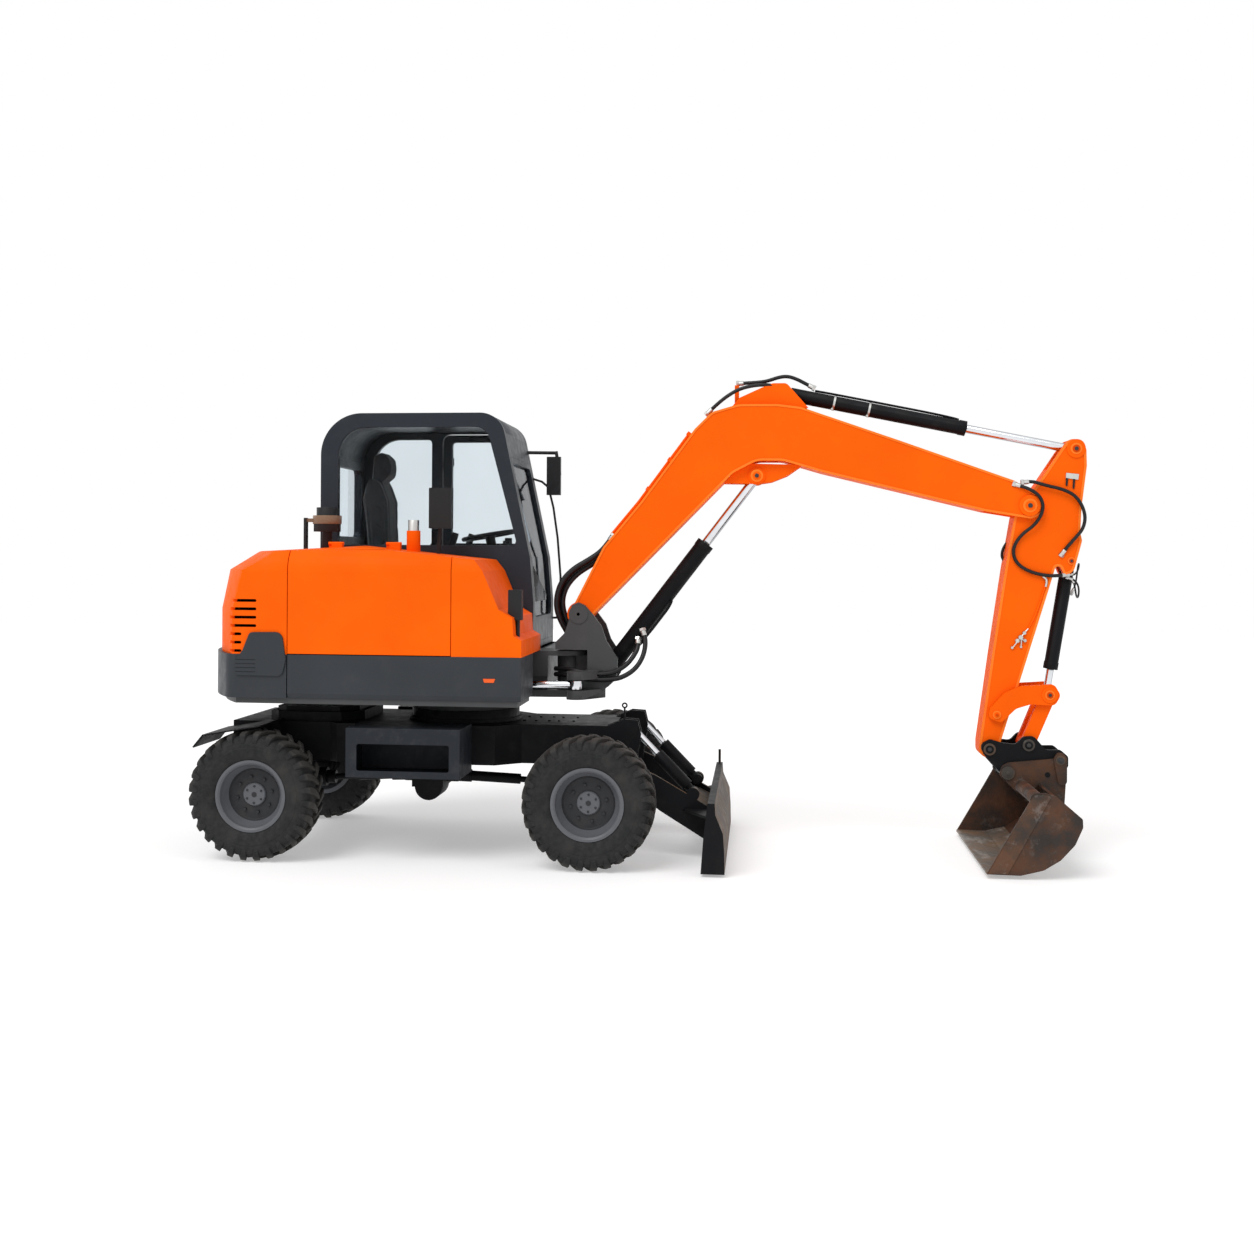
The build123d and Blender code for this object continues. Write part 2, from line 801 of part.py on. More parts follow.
def nose_plate(z_low, z_high):
    # Plate or block that narrows to the round boss of the king pin
    with BuildSketch(Plane.XY.offset(z_low)) as face:
        with Locations(((bracket_rear_x + bracket_front_x) / 2, 0)):
            Rectangle(bracket_front_x - bracket_rear_x, 2 * bracket_half_width)
        with Locations((king_x, 0)):
            Circle(nose_radius)
        make_hull()
    extrude(face.sketch, amount=z_high - z_low)


with BuildPart() as upper_frame:
    column(slew_x, 0, slew_ring_radius - 22, frame_top + slew_ring_height + seat_gap, deck_bottom)
    tail_plate(tail_radius - skirt_wall - 30, platform_half_width - skirt_wall - 1,
               platform_front_x - skirt_wall - 1,
               deck_bottom, deck_top)
    # Room in the deck for the lug of the swing cylinder when the post is turned to the right
    block((swing_opening_x, platform_front_x), (swing_opening_y, -bracket_half_width - 2),
          (deck_bottom - 5, deck_top + 5),
          mode=Mode.SUBTRACT)
    # Lower lug of the nose
    nose_plate(lug_bottom, band_low - 5)
    # Upper box of the nose with a slot for the hub of the post
    nose_plate(band_high, lug_top)
    block((bracket_front_x, king_x + 200), (-300, 300), (band_high - 1, lug_top - lug_thickness),
          mode=Mode.SUBTRACT)
    block((bracket_rear_x, 520), (-bracket_half_width, bracket_half_width), (deck_top, band_high))
    block((520, bracket_front_x - 10), (-bracket_web_half_width, bracket_web_half_width),
          (band_low - 5, band_high))
    # King pin
    column(king_x, 0, king_radius, lug_bottom, lug_top + 4)
    # Stiffening wall on the deck
    block((-700, 200), (-190, -170), (deck_top, skirt_top - 20))
    # Pivot of the swing cylinder
    column(swing_base[0], swing_base[1], swing_pin_radius, deck_top, swing_rod_z + 60)
write(upper_frame, "upper_frame")

hub_low = band_low - 5 + seat_gap
hub_high = lug_top - lug_thickness - seat_gap
lug_turn = radians(swing_lug_angle)
swing_pin = (king_x + swing_lug_reach * cos(lug_turn), swing_lug_reach * sin(lug_turn))
post_front = [
    (king_x + nose_radius + 12, 1302),
    (king_x + nose_radius + 12, 990),
    (988, 996),
    (1068, 1034),
    (1121, 1084),
    (1154, 1132),
    (1161, 1245),
    (1086, 1357),
    (1052, 1456),
    (998, 1528),
]
post_ear = [
    (751, lug_top + moving_gap + 4),
    (1100, lug_top + moving_gap + 4),
    (1086, 1357),
    (1052, 1456),
    (998, 1528),
    (945, 1588),
    (901, 1608),
    (857, 1588),
    (838, 1487),
    (811, 1407),
    (751, 1346),
]
with BuildPart() as swing_post:
    column(king_x, 0, post_hub_radius, hub_low, hub_high)
    # Web from the hub to the front
    block((king_x, king_x + nose_radius + 40), (-50, 50), (hub_low, hub_high))
    slab([(king_x + nose_radius + 12, 1330), (king_x + nose_radius + 12, 1000),
          (king_x + nose_radius + 45, 1000), (king_x + nose_radius + 45, 1330)],
         -post_inner, post_inner)
    slabs(post_front, post_inner, post_outer)
    slabs(post_ear, post_inner, post_outer)
    slab([(751, lug_top + moving_gap + 4), (king_x + nose_radius + 45, lug_top + moving_gap + 4),
          (king_x + nose_radius + 45, 1340), (751, 1340)],
         -post_inner, post_inner)
    drums(boom_pivot, 62, post_outer, post_outer + 6)
    drum(boom_pivot, boom_pin_radius, -post_outer, post_outer)
    drums(boom_barrel_pin, 46, eye_half_width + 2, post_inner)
    drum(boom_barrel_pin, boom_pin_radius - 4, -post_outer, post_outer)
    # Side lug for the rod of the swing cylinder
    for low, high in ((swing_rod_z - 92, swing_rod_z - 34), (swing_rod_z + 34, swing_rod_z + 88)):
        floor_plate(
            [
                (swing_pin[0] - 50, swing_pin[1] - 40),
                (swing_pin[0] + 50, swing_pin[1] - 40),
                (king_x + nose_radius + 130, -post_inner),
                (king_x + nose_radius + 12, -post_inner),
                (swing_pin[0] - 40, swing_pin[1] + 60),
            ],
            low,
            high,
        )
        column(swing_pin[0], swing_pin[1], 59, low, high)
    column(king_x, 0, king_radius + pin_gap, hub_low - 5, hub_high + 5, mode=Mode.SUBTRACT)
write(swing_post, "swing_post")

swing_line = (swing_pin[0] - swing_base[0], swing_pin[1] - swing_base[1])
swing_run = hypot(*swing_line)
swing_heading = (swing_line[0] / swing_run, swing_line[1] / swing_run)


def swing_point(distance):
    return (swing_base[0] + swing_heading[0] * distance, swing_base[1] + swing_heading[1] * distance,
            swing_rod_z)


with BuildPart() as swing_barrel:
    bar(swing_point(40), swing_point(swing_barrel_length), swing_barrel_radius)
    column(swing_base[0], swing_base[1], 46, swing_rod_z - 40, swing_rod_z + 40)
    bar(swing_point(100), swing_point(swing_barrel_length), swing_rod_radius + pin_gap, mode=Mode.SUBTRACT)
    column(swing_base[0], swing_base[1], swing_pin_radius + pin_gap, swing_rod_z - 60, swing_rod_z + 60,
           mode=Mode.SUBTRACT)
write(swing_barrel, "swing_barrel")
with BuildPart() as swing_rod:
    bar(swing_point(swing_rod_inner), swing_point(swing_run), swing_rod_radius)
    column(swing_pin[0], swing_pin[1], 44, swing_rod_z - 28, swing_rod_z + 28)
write(swing_rod, "swing_rod")

# Side skirts and counterweight
with BuildPart() as skirts:
    for hand in (1, -1):
        outer = hand * platform_half_width
        inner = hand * (platform_half_width - skirt_wall)
        with BuildSketch(Plane(origin=(rear_seam_x + seam_gap, 0, 0), x_dir=(0, 1, 0),
                               z_dir=(1, 0, 0))) as section:
            with BuildLine():
                Polyline(
                    (inner - hand * 30, deck_top),
                    (inner - hand * 30, deck_top + 6),
                    (inner, deck_top + 6),
                    (inner, skirt_top),
                    (outer, skirt_top),
                    (outer, deck_top + 30),
                    (outer - hand * 12, deck_top),
                    close=True,
                )
            make_face()
        extrude(section.sketch, amount=platform_front_x - rear_seam_x - seam_gap)
        opening = bracket_half_width if hand == 1 else swing_opening_y
        block((platform_front_x - skirt_wall, platform_front_x), sorted((opening, inner)),
              (deck_top, skirt_top))
write(skirts, "skirts")

with BuildPart() as counterweight:
    tail_plate(tail_radius, platform_half_width, rear_seam_x, deck_top, skirt_top)
    block((rear_seam_x - 260, rear_seam_x + 10), (-platform_half_width + 60, platform_half_width - 60),
          (deck_top, skirt_top - 60), mode=Mode.SUBTRACT)
    vertical = counterweight.edges().filter_by(Axis.Z)
    outer = vertical.filter_by(lambda e: abs(e.center().Y) > platform_half_width - 5)
    corners = outer.filter_by(lambda e: e.center().X < rear_seam_x - 50)
    fillet(corners, 90)
    # Corner bumpers that stand proud of the casting and reach up beside the hood
    bumper = [
        (-1150, 1160),
        (-1150, 1255),
        (-1103, 1314),
        (-1059, 1426),
        (-854, 1429),
        (rear_seam_x - 3, 1256),
        (-852, 1157),
    ]
    hood_half_width = platform_half_width - 4
    slabs(bumper, hood_half_width + seat_gap, hood_half_width + bumper_thickness,
          [20, 20, 0, 30, 50, 0, 40])
    pad_face = hood_half_width + bumper_thickness
    for row in range(4):
        z = 1178 + row * groove_pitch
        groove = [(-1160, z), (-1020, z), (-1020, z + 6), (-1160, z + 6)]
        slabs(groove, pad_face - 4, pad_face + 4, mode=Mode.SUBTRACT)
write(counterweight, "counterweight")


# Hood: one closed form, cut into panels
def hood_volume(inset):
    # Meeting of the round tail, the side walls with their rounded shoulders and the arched top
    radius = hood_tail_radius - inset
    half_width = hood_half_width - inset
    low = skirt_top - inset
    with BuildPart() as form:
        with BuildSketch(Plane(origin=(slew_x, 0, 0), x_dir=(-1, 0, 0), z_dir=(0, 1, 0))) as lathe:
            with BuildLine():
                FilletPolyline(
                    (0, low),
                    (radius, low),
                    (radius, 1560),
                    (radius - 50, hood_top - 160 - inset),
                    (radius - 240, hood_top - 40 - inset),
                    (0, hood_top + 40 - inset),
                    radius=0,
                    close=True,
                )
            make_face()
        revolve(lathe.sketch, axis=Axis((slew_x, 0, 0), (0, 0, 1)))
    with BuildPart() as tunnel:
        with BuildSketch(Plane(origin=(-1700, 0, 0), x_dir=(0, 1, 0), z_dir=(1, 0, 0))) as arch:
            with BuildLine():
                FilletPolyline(
                    (-half_width, low - 10),
                    (-half_width, hood_top - inset),
                    (half_width, hood_top - inset),
                    (half_width, low - 10),
                    radius=[0, 170 - inset, 170 - inset, 0],
                    close=True,
                )
            make_face()
        extrude(arch.sketch, amount=2600)
    with BuildPart() as profile:
        slab(
            [
                (-1700, low - 10),
                (-1700, 1890 - inset),
                (-1060, 1932 - inset),
                (-520, hood_top - inset),
                (344 - inset, 1884 - inset),
                (400 - inset, 1815 - inset),
                (500 - inset, 1580 - inset),
                (585 - inset, 1530 - inset),
                (592 - inset, 1422 - inset),
                (platform_front_x - inset, 1393 - inset),
                (platform_front_x - inset, low - 10),
            ],
            -1000,
            1000,
        )
    return form.part & tunnel.part & profile.part


hood_form = hood_volume(0)
hood_shell = hood_form - hood_volume(hood_wall)
cab_clear = 16
half_seam = seam_gap / 2
hood_ceiling = hood_top + 100
cab_pocket_x = cab_rear_x - cab_clear
cab_pocket_y = cab_side_y - cab_wall - cab_clear


def clear_of_cab():
    # Room for the cab beside and in front of the hood
    block((cab_pocket_x, platform_front_x + 50), (cab_pocket_y, platform_half_width + 50),
          (skirt_top - 50, hood_ceiling), mode=Mode.SUBTRACT)


with BuildPart() as rear_hood:
    add(hood_shell)
    block((rear_seam_x - seat_gap, platform_front_x + 50), (-platform_half_width, platform_half_width),
          (skirt_top - 50, hood_ceiling), mode=Mode.SUBTRACT)
    clear_of_cab()
    for row in range(7):
        z = louvre_top - row * louvre_pitch
        front = louvre_front_x if row < 4 else louvre_short_x
        link((louvre_rear_x, z), (front, z), louvre_radius, louvre_radius,
             -platform_half_width - 10, -platform_half_width + hood_wall + 20, mode=Mode.SUBTRACT)
        link((louvre_rear_x, z), (front, z), louvre_radius, louvre_radius,
             platform_half_width - hood_wall - 20, platform_half_width + 10, mode=Mode.SUBTRACT)
write(rear_hood, "rear_hood")

with BuildPart() as side_door:
    add(hood_shell)
    block((rear_seam_x + seam_gap, front_seam_x - half_seam),
          (-platform_half_width, door_hinge_y - half_seam),
          (skirt_top + seam_gap, hood_ceiling), mode=Mode.INTERSECT)
    for x in hood_hinge_places:
        bar((x - 20, door_hinge_y, hood_hinge_z), (x + 50, door_hinge_y, hood_hinge_z), hood_hinge_radius)
        block((x - 20, x + 50), (door_hinge_y - 45, door_hinge_y - half_seam),
              (hood_top - 45, hood_hinge_z + 4))
        bar((x - 55, door_hinge_y, hood_hinge_z), (x + 55, door_hinge_y, hood_hinge_z),
            hood_pin_radius + pin_gap,
            mode=Mode.SUBTRACT)
write(side_door, "side_door")

with BuildPart() as hood_cover:
    add(hood_shell)
    block((rear_seam_x, platform_front_x + 50), (-platform_half_width, platform_half_width),
          (skirt_top - 50, hood_ceiling), mode=Mode.INTERSECT)
    block((rear_seam_x - 50, front_seam_x + half_seam), (-platform_half_width, door_hinge_y + half_seam),
          (skirt_top - 50, hood_ceiling), mode=Mode.SUBTRACT)
    clear_of_cab()
    for x in hood_hinge_places:
        bar((x - 50, door_hinge_y, hood_hinge_z), (x - 20 - seat_gap, door_hinge_y, hood_hinge_z),
            hood_hinge_radius)
        bar((x - 50, door_hinge_y, hood_hinge_z), (x + 50, door_hinge_y, hood_hinge_z), hood_pin_radius)
        block((x - 50, x - 20 - seat_gap), (door_hinge_y + half_seam, door_hinge_y + 45),
              (hood_top - 45, hood_hinge_z + 4))
write(hood_cover, "hood_cover")

with BuildPart() as engine:
    block((slew_x - 1420, cab_rear_x - 130), (-420, 420), (skirt_top, skirt_top + 440))
write(engine, "engine")

# Cab: floor, walls, roof and windscreen frame around an open room
cab_inner_y = cab_left_y - cab_wall
cab_right_inner = cab_side_y
cab_right_outer = cab_side_y - cab_wall
windscreen_top_x = 360
windscreen_knee = (565, 1900)
windscreen_foot = (590, 1600)
cab_outline = [
    (cab_rear_x, cab_bottom),
    (cab_rear_x, cab_top),
    (windscreen_top_x, cab_top),
    windscreen_knee,
    windscreen_foot,
    (windscreen_foot[0], cab_bottom),
]
cab_corners = [0, 280, 170, 0, 0, 0]


def inset_outline(gap):
    # The cab's side outline moved inwards, open at the bottom
    return [
        (cab_rear_x + gap, cab_bottom - gap),
        (cab_rear_x + gap, cab_top - gap),
        (windscreen_top_x - gap * 0.8, cab_top - gap),
        (windscreen_knee[0] - gap, windscreen_knee[1]),
        (windscreen_foot[0] - gap, windscreen_foot[1]),
        (windscreen_foot[0] - gap, cab_bottom - gap),
    ]


def inset_corners(gap):
    return [0, 280 - gap, 170 - gap * 0.6, 0, 0, 0]


frame_face = 62
window_bottom = 1978


def window_outline(gap, low):
    # Opening in a side wall from the window sill up
    return [
        (cab_rear_x + gap + 58, low),
        (cab_rear_x + gap + 58, cab_top - gap - 34),
        (windscreen_top_x - gap - 30, cab_top - gap - 34),
        (windscreen_knee[0] - gap - 24, low),
    ]


with BuildPart() as cab_side_right:
    slab(cab_outline, cab_right_outer, cab_right_inner, cab_corners)
    slab(window_outline(frame_face, window_bottom), cab_right_outer - 5, cab_right_inner + 5,
         [30, 190, 100, 30], mode=Mode.SUBTRACT)
write(cab_side_right, "cab_side_right")

door_front = [
    (b_pillar_x, cab_bottom + 30),
    (b_pillar_x, cab_top - 70),
    (windscreen_top_x - 60, cab_top - 70),
    (windscreen_knee[0] - 58, windscreen_knee[1]),
    (windscreen_foot[0] - 58, windscreen_foot[1]),
    (windscreen_foot[0] - 58, cab_bottom + 30),
]
door_corners = [30, 60, 110, 0, 0, 60]
hinge_heights = (1560, 2560)
hinge_x = b_pillar_x + door_gap / 2
hinge_y = cab_left_y + 16
with BuildPart() as cab_side_left:
    slab(cab_outline, cab_inner_y, cab_left_y, cab_corners)
    slab(door_front, cab_inner_y - 5, cab_left_y + 5, door_corners, mode=Mode.SUBTRACT)
    slab(
        [
            (cab_rear_x + 130, window_bottom),
            (cab_rear_x + 130, cab_top - 110),
            (b_pillar_x - pillar_width, cab_top - 110),
            (b_pillar_x - pillar_width, window_bottom),
        ],
        cab_inner_y - 5,
        cab_left_y + 5,
        [30, 190, 30, 30],
        mode=Mode.SUBTRACT,
    )
    for z in hinge_heights:
        column(hinge_x, hinge_y, 12, z - 40, z - seat_gap)
        column(hinge_x, hinge_y, hinge_pin_radius, z - 40, z + 62)
        block((hinge_x - 70, hinge_x), (cab_left_y, hinge_y), (z - 40, z - seat_gap))
write(cab_side_left, "cab_side_left")

door_low = cab_bottom + 30 + door_gap
with BuildPart() as cab_door:
    leaf = [
        (b_pillar_x + door_gap, door_low),
        (b_pillar_x + door_gap, cab_top - 70 - door_gap),
        (windscreen_top_x - 60 - door_gap * 0.8, cab_top - 70 - door_gap),
        (windscreen_knee[0] - 58 - door_gap, windscreen_knee[1]),
        (windscreen_foot[0] - 58 - door_gap, windscreen_foot[1]),
        (windscreen_foot[0] - 58 - door_gap, door_low),
    ]
    slab(leaf, cab_inner_y + 8, cab_left_y, [26, 54, 104, 0, 0, 54])
    door_glass_outlines = [
        # upper pane, lower pane
        (
            [
                (b_pillar_x + 70, window_bottom + 20),
                (b_pillar_x + 70, cab_top - 130),
                (windscreen_top_x - 120, cab_top - 130),
                (windscreen_knee[0] - 135, window_bottom + 20),
            ],
            [25, 25, 60, 25],
        ),
        (
            [
                (b_pillar_x + 90, 1520),
                (b_pillar_x + 90, window_bottom - 90),
                (windscreen_knee[0] - 135, window_bottom - 90),
                (windscreen_foot[0] - 140, 1520),
            ],
            [40, 25, 25, 60],
        ),
    ]
    for outline, corners in door_glass_outlines:
        slab(outline, cab_inner_y, cab_left_y + 5, corners, mode=Mode.SUBTRACT)
    # Handle and hinge barrels
    block((420, 500), (cab_left_y, cab_left_y + 22), (1830, 1860))
    for z in hinge_heights:
        column(hinge_x, hinge_y, 12, z, z + 60)
        block((hinge_x, hinge_x + 70), (cab_left_y, hinge_y), (z + 2, z + 58))
        column(hinge_x, hinge_y, hinge_pin_radius + pin_gap, z - 5, z + 65, mode=Mode.SUBTRACT)
write(cab_door, "cab_door")

with BuildPart() as door_glass:
    for outline, corners in door_glass_outlines:
        slab(outline, cab_inner_y + 26, cab_inner_y + 26 + glass_thickness, corners)
write(door_glass, "door_glass")

roof_low = cab_top - 290
with BuildPart() as cab_roof:
    slab(inset_outline(0.5), cab_right_inner + seat_gap, cab_inner_y - seat_gap, inset_corners(0.5))
    slab(inset_outline(frame_face), cab_right_inner, cab_inner_y, inset_corners(frame_face),
         mode=Mode.SUBTRACT)
    block((-1200, 900), (-200, 1200), (cab_bottom - 50, roof_low), mode=Mode.SUBTRACT)
write(cab_roof, "cab_roof")

with BuildPart() as cab_rear:
    block((cab_rear_x, cab_rear_x + frame_face), (cab_right_inner + seat_gap, cab_inner_y - seat_gap),
          (cab_bottom + cab_floor_thickness + seat_gap, roof_low - seat_gap))
    with BuildSketch(Plane(origin=(cab_rear_x - 10, 0, 0), x_dir=(0, 1, 0), z_dir=(1, 0, 0))) as opening:
        with Locations(((cab_right_inner + cab_inner_y) / 2, (window_bottom + 60 + roof_low - 50) / 2)):
            RectangleRounded(cab_inner_y - cab_right_inner - 160, roof_low - window_bottom - 110, 50)
    extrude(opening.sketch, amount=frame_face + 20, mode=Mode.SUBTRACT)
write(cab_rear, "cab_rear")

windscreen_low = 1500
windscreen_high = roof_low - 40


def windscreen_opening(mode):
    with BuildSketch(Plane(origin=(300, 0, 0), x_dir=(0, 1, 0), z_dir=(1, 0, 0))) as face:
        with Locations(((cab_right_inner + cab_inner_y) / 2, (windscreen_low + windscreen_high) / 2)):
            RectangleRounded(cab_inner_y - cab_right_inner - 110, windscreen_high - windscreen_low, 40)
    extrude(face.sketch, amount=400, mode=mode)


with BuildPart() as cab_front:
    slab(inset_outline(0.5), cab_right_inner + seat_gap, cab_inner_y - seat_gap, inset_corners(0.5))
    slab(inset_outline(frame_face), cab_right_inner, cab_inner_y, inset_corners(frame_face),
         mode=Mode.SUBTRACT)
    block((-1200, 300), (-200, 1200), (cab_bottom - 50, cab_top + 50), mode=Mode.SUBTRACT)
    block((-1200, 900), (-200, 1200), (roof_low - seat_gap, cab_top + 50), mode=Mode.SUBTRACT)
    block((-1200, 900), (-200, 1200), (cab_bottom - 50, cab_bottom + cab_floor_thickness + seat_gap),
          mode=Mode.SUBTRACT)
    windscreen_opening(Mode.SUBTRACT)
write(cab_front, "cab_front")

with BuildPart() as cab_floor:
    block((cab_rear_x, windscreen_foot[0] - 0.5), (cab_right_inner + seat_gap, cab_inner_y - seat_gap),
          (cab_bottom, cab_bottom + cab_floor_thickness))
    block((cab_rear_x + 80, windscreen_foot[0] - 60), (cab_base_y, cab_inner_y - 60),
          (deck_top, cab_bottom))
write(cab_floor, "cab_floor")

glass_inset = 20
with BuildPart() as cab_glass:
    slab(window_outline(frame_face, window_bottom), cab_right_outer + 24,
         cab_right_outer + 24 + glass_thickness, [30, 190, 100, 30])
    slab(
        [
            (cab_rear_x + 130, window_bottom),
            (cab_rear_x + 130, cab_top - 110),
            (b_pillar_x - pillar_width, cab_top - 110),
            (b_pillar_x - pillar_width, window_bottom),
        ],
        cab_inner_y + 26,
        cab_inner_y + 26 + glass_thickness,
        [30, 190, 30, 30],
    )
    with BuildSketch(Plane(origin=(cab_rear_x + 28, 0, 0), x_dir=(0, 1, 0), z_dir=(1, 0, 0))) as pane:
        with Locations(((cab_right_inner + cab_inner_y) / 2, (window_bottom + 60 + roof_low - 50) / 2)):
            RectangleRounded(cab_inner_y - cab_right_inner - 160, roof_low - window_bottom - 110, 50)
    extrude(pane.sketch, amount=glass_thickness)
write(cab_glass, "cab_glass")

with BuildPart() as windscreen:
    slab(inset_outline(glass_inset), cab_right_inner, cab_inner_y, inset_corners(glass_inset))
    slab(inset_outline(glass_inset + glass_thickness), cab_right_inner - 5, cab_inner_y + 5,
         inset_corners(glass_inset + glass_thickness), mode=Mode.SUBTRACT)
    windscreen_opening(Mode.INTERSECT)
write(windscreen, "windscreen")

# Seat and controls
seat_y = 430
floor_top = cab_bottom + cab_floor_thickness
seat_pan = floor_top + 390
cushion_low = seat_pan + seat_gap
tongue_top = seat_pan + 120
back_low = tongue_top + seat_gap
back_top = back_low + 598
with BuildPart() as seat_base:
    block((-640, -120), (seat_y - 190, seat_y + 190), (floor_top, floor_top + 240))
    block((-650, -200), (seat_y - 150, seat_y + 150), (floor_top + 240, seat_pan))
    # Tongue that carries the back rest
    slab(
        [
            (-650, seat_pan),
            (-625, seat_pan),
            (-625, tongue_top - 10),
            (-500, tongue_top - 10),
            (-500, tongue_top),
            (-650, tongue_top),
        ],
        seat_y - 60,
        seat_y + 60,
    )
    for hand in (1, -1):
        block((-560, -60), sorted((seat_y + hand * 268, seat_y + hand * 338)), (floor_top, floor_top + 560))
write(seat_base, "seat_base")

with BuildPart() as seat_cushion:
    slab(
        [
            (-620, cushion_low),
            (-110, cushion_low),
            (-80, cushion_low + 62),
            (-120, cushion_low + 108),
            (-560, cushion_low + 92),
            (-620, cushion_low + 62),
        ],
        seat_y - 235,
        seat_y + 235,
        22,
    )
write(seat_cushion, "seat_cushion")

with BuildPart() as seat_back:
    slab(
        [
            (-600, back_low),
            (-480, back_low),
            (-500, back_low + 440),
            (-560, back_top),
            (-620, back_top),
            (-650, back_top - 140),
        ],
        seat_y - 215,
        seat_y + 215,
        24,
    )
    # Head rest
    slab(
        [
            (-615, back_top - 30),
            (-570, back_top - 30),
            (-490, back_top + 40),
            (-480, back_top + 160),
            (-530, back_top + 210),
            (-590, back_top + 180),
        ],
        seat_y - 120,
        seat_y + 120,
        18,
    )
write(seat_back, "seat_back")

steering_wheel_centre = (207, seat_y, 2050)
steering_axis = (-115, 0, 670)
with BuildPart() as steering_column:
    block((250, 380), (seat_y - 90, seat_y + 90), (floor_top, floor_top + 60))
    bar((330, seat_y, floor_top + 40), steering_wheel_centre, 34)
    with BuildSketch(Plane(origin=steering_wheel_centre, x_dir=(0, 1, 0),
                           z_dir=(670, 0, 115))) as rim_section:
        with Locations((185, 0)):
            Circle(14)
    revolve(rim_section.sketch, axis=Axis(steering_wheel_centre, steering_axis))
    with BuildSketch(Plane(origin=steering_wheel_centre, x_dir=(0, 1, 0), z_dir=steering_axis)) as spokes:
        Circle(50)
        Rectangle(360, 26)
    extrude(spokes.sketch, amount=8, both=True)
write(steering_column, "steering_column")

# Boom: a cranked box beam with a forked tip
boom_outline = [
    (859, 1576),
    (1058, 1972),
    (1297, 2261),
    (1650, 2741),
    (1760, 2850),
    (1932, 2900),
    (2182, 2899),
    (2330, 2880),
    (2959, 2661),
    (3668, 2407),
    (3850, 2300),
    (3860, 2200),
    (3776, 2165),
    (3496, 2211),
    (2471, 2460),
    (2217, 2535),
    (2050, 2535),
    (1898, 2455),
    (994, 1527),
    (930, 1450),
    (860, 1470),
]
boom_corners = [20, 0, 0, 60, 80, 200, 200, 0, 0, 60, 50, 50, 40, 0, 0, 200, 150, 120, 0, 40, 30]
with BuildPart() as boom:
    boom_face = boom_half_width - 1.5
    slab(boom_outline, -boom_face, boom_face, boom_corners)
    panel(boom_outline, boom_corners, 14, boom_face, 4)
    drum(boom_pivot, 78, -boom_half_width, boom_half_width)
    # Fork for the arm
    slab([(3490, 2000), (3490, 2400), (3560, 2480), (3700, 2560), (4000, 2560), (4000, 2000)],
         -arm_half_width - moving_gap, arm_half_width + moving_gap, mode=Mode.SUBTRACT)
    drums(arm_pivot, 66, arm_half_width + moving_gap, boom_half_width + 8)
    drum(arm_pivot, arm_pin_radius, -boom_half_width - 8, boom_half_width + 8)
    # Ears below for the rod of the boom cylinder, with a relief above its eye
    ear = [(1840, 2390), (1985, 2388), (2053, 2385), (2150, 2400), (2250, 2440), (2350, 2510), (1960, 2520)]
    slabs(ear, eye_half_width + eye_gap, eye_half_width + 32)
    drums(boom_rod_pin, 56, eye_half_width + eye_gap, eye_half_width + 40)
    slab([(1935, 2400), (2190, 2400), (2190, 2572), (1985, 2572), (1900, 2490)], -eye_half_width - eye_gap,
         eye_half_width + eye_gap, mode=Mode.SUBTRACT)
    # Ears on top for the arm cylinder
    top_ear = [(1880, 2880), (1937, 2947), (2076, 3010), (2150, 3040), (2240, 3040), (2380, 2880)]
    slabs(top_ear, eye_half_width + 6, eye_half_width + 30, [0, 0, 0, 40, 40, 0])
    drum(arm_barrel_pin, arm_pin_radius - 4, -eye_half_width - 30, eye_half_width + 30)
    # Pipes up the back with their clips, and the bracket that lifts the hoses over the bend
    back = boom_outline[1:4]
    rise = (back[2][0] - back[1][0], back[2][1] - back[1][1])
    lean = hypot(*rise)
    normal = (-rise[1] / lean, rise[0] / lean)
    path = [toward(back[0], back[1], 95), back[1], toward(back[1], back[2], lean - 40)]
    for y in pipe_places:
        line = [(x + normal[0] * pipe_offset, y, z + normal[1] * pipe_offset) for x, z in path]
        for start, end in zip(line, line[1:]):
            bar(start, end, pipe_radius)
    for share in (0.15, 0.55, 0.9):
        foot = toward(back[1], back[2], lean * share)
        ahead = toward(back[1], back[2], lean * share + 26)
        clip = [(x + normal[0] * height, z + normal[1] * height) for x, z, height in
                ((*foot, -8), (*ahead, -8), (*ahead, pipe_offset + 14), (*foot, pipe_offset + 14))]
        slab(clip, pipe_places[0] - 20, pipe_places[-1] + 20)
    slab([(1905, 2880), (1933, 2880), (1933, 3032), (1905, 3032)], -34, 34)
    drum(boom_pivot, boom_pin_radius + pin_gap, -200, 200, mode=Mode.SUBTRACT)
write(boom, "boom")


def cylinder_barrel(piece_start, piece_end, length, radius, bore, pin_radius, neck):
    # Barrel with its base eye on piece_start and its open end towards piece_end
    collar = toward(piece_start, piece_end, neck)
    mouth = toward(piece_start, piece_end, length)
    gland = toward(piece_start, piece_end, length - 46)
    drum(piece_start, pin_radius + 20, -eye_half_width, eye_half_width)
    bar((piece_start[0], 0, piece_start[1]), (collar[0], 0, collar[1]), radius * 0.7)
    bar((collar[0], 0, collar[1]), (mouth[0], 0, mouth[1]), radius)
    bar((gland[0], 0, gland[1]), (mouth[0], 0, mouth[1]), radius + 3)
    floor_point = toward(piece_start, piece_end, neck + 30)
    bar((floor_point[0], 0, floor_point[1]), (mouth[0], 0, mouth[1]), bore + pin_gap, mode=Mode.SUBTRACT)
    drum(piece_start, pin_radius + pin_gap, -eye_half_width - 5, eye_half_width + 5, mode=Mode.SUBTRACT)


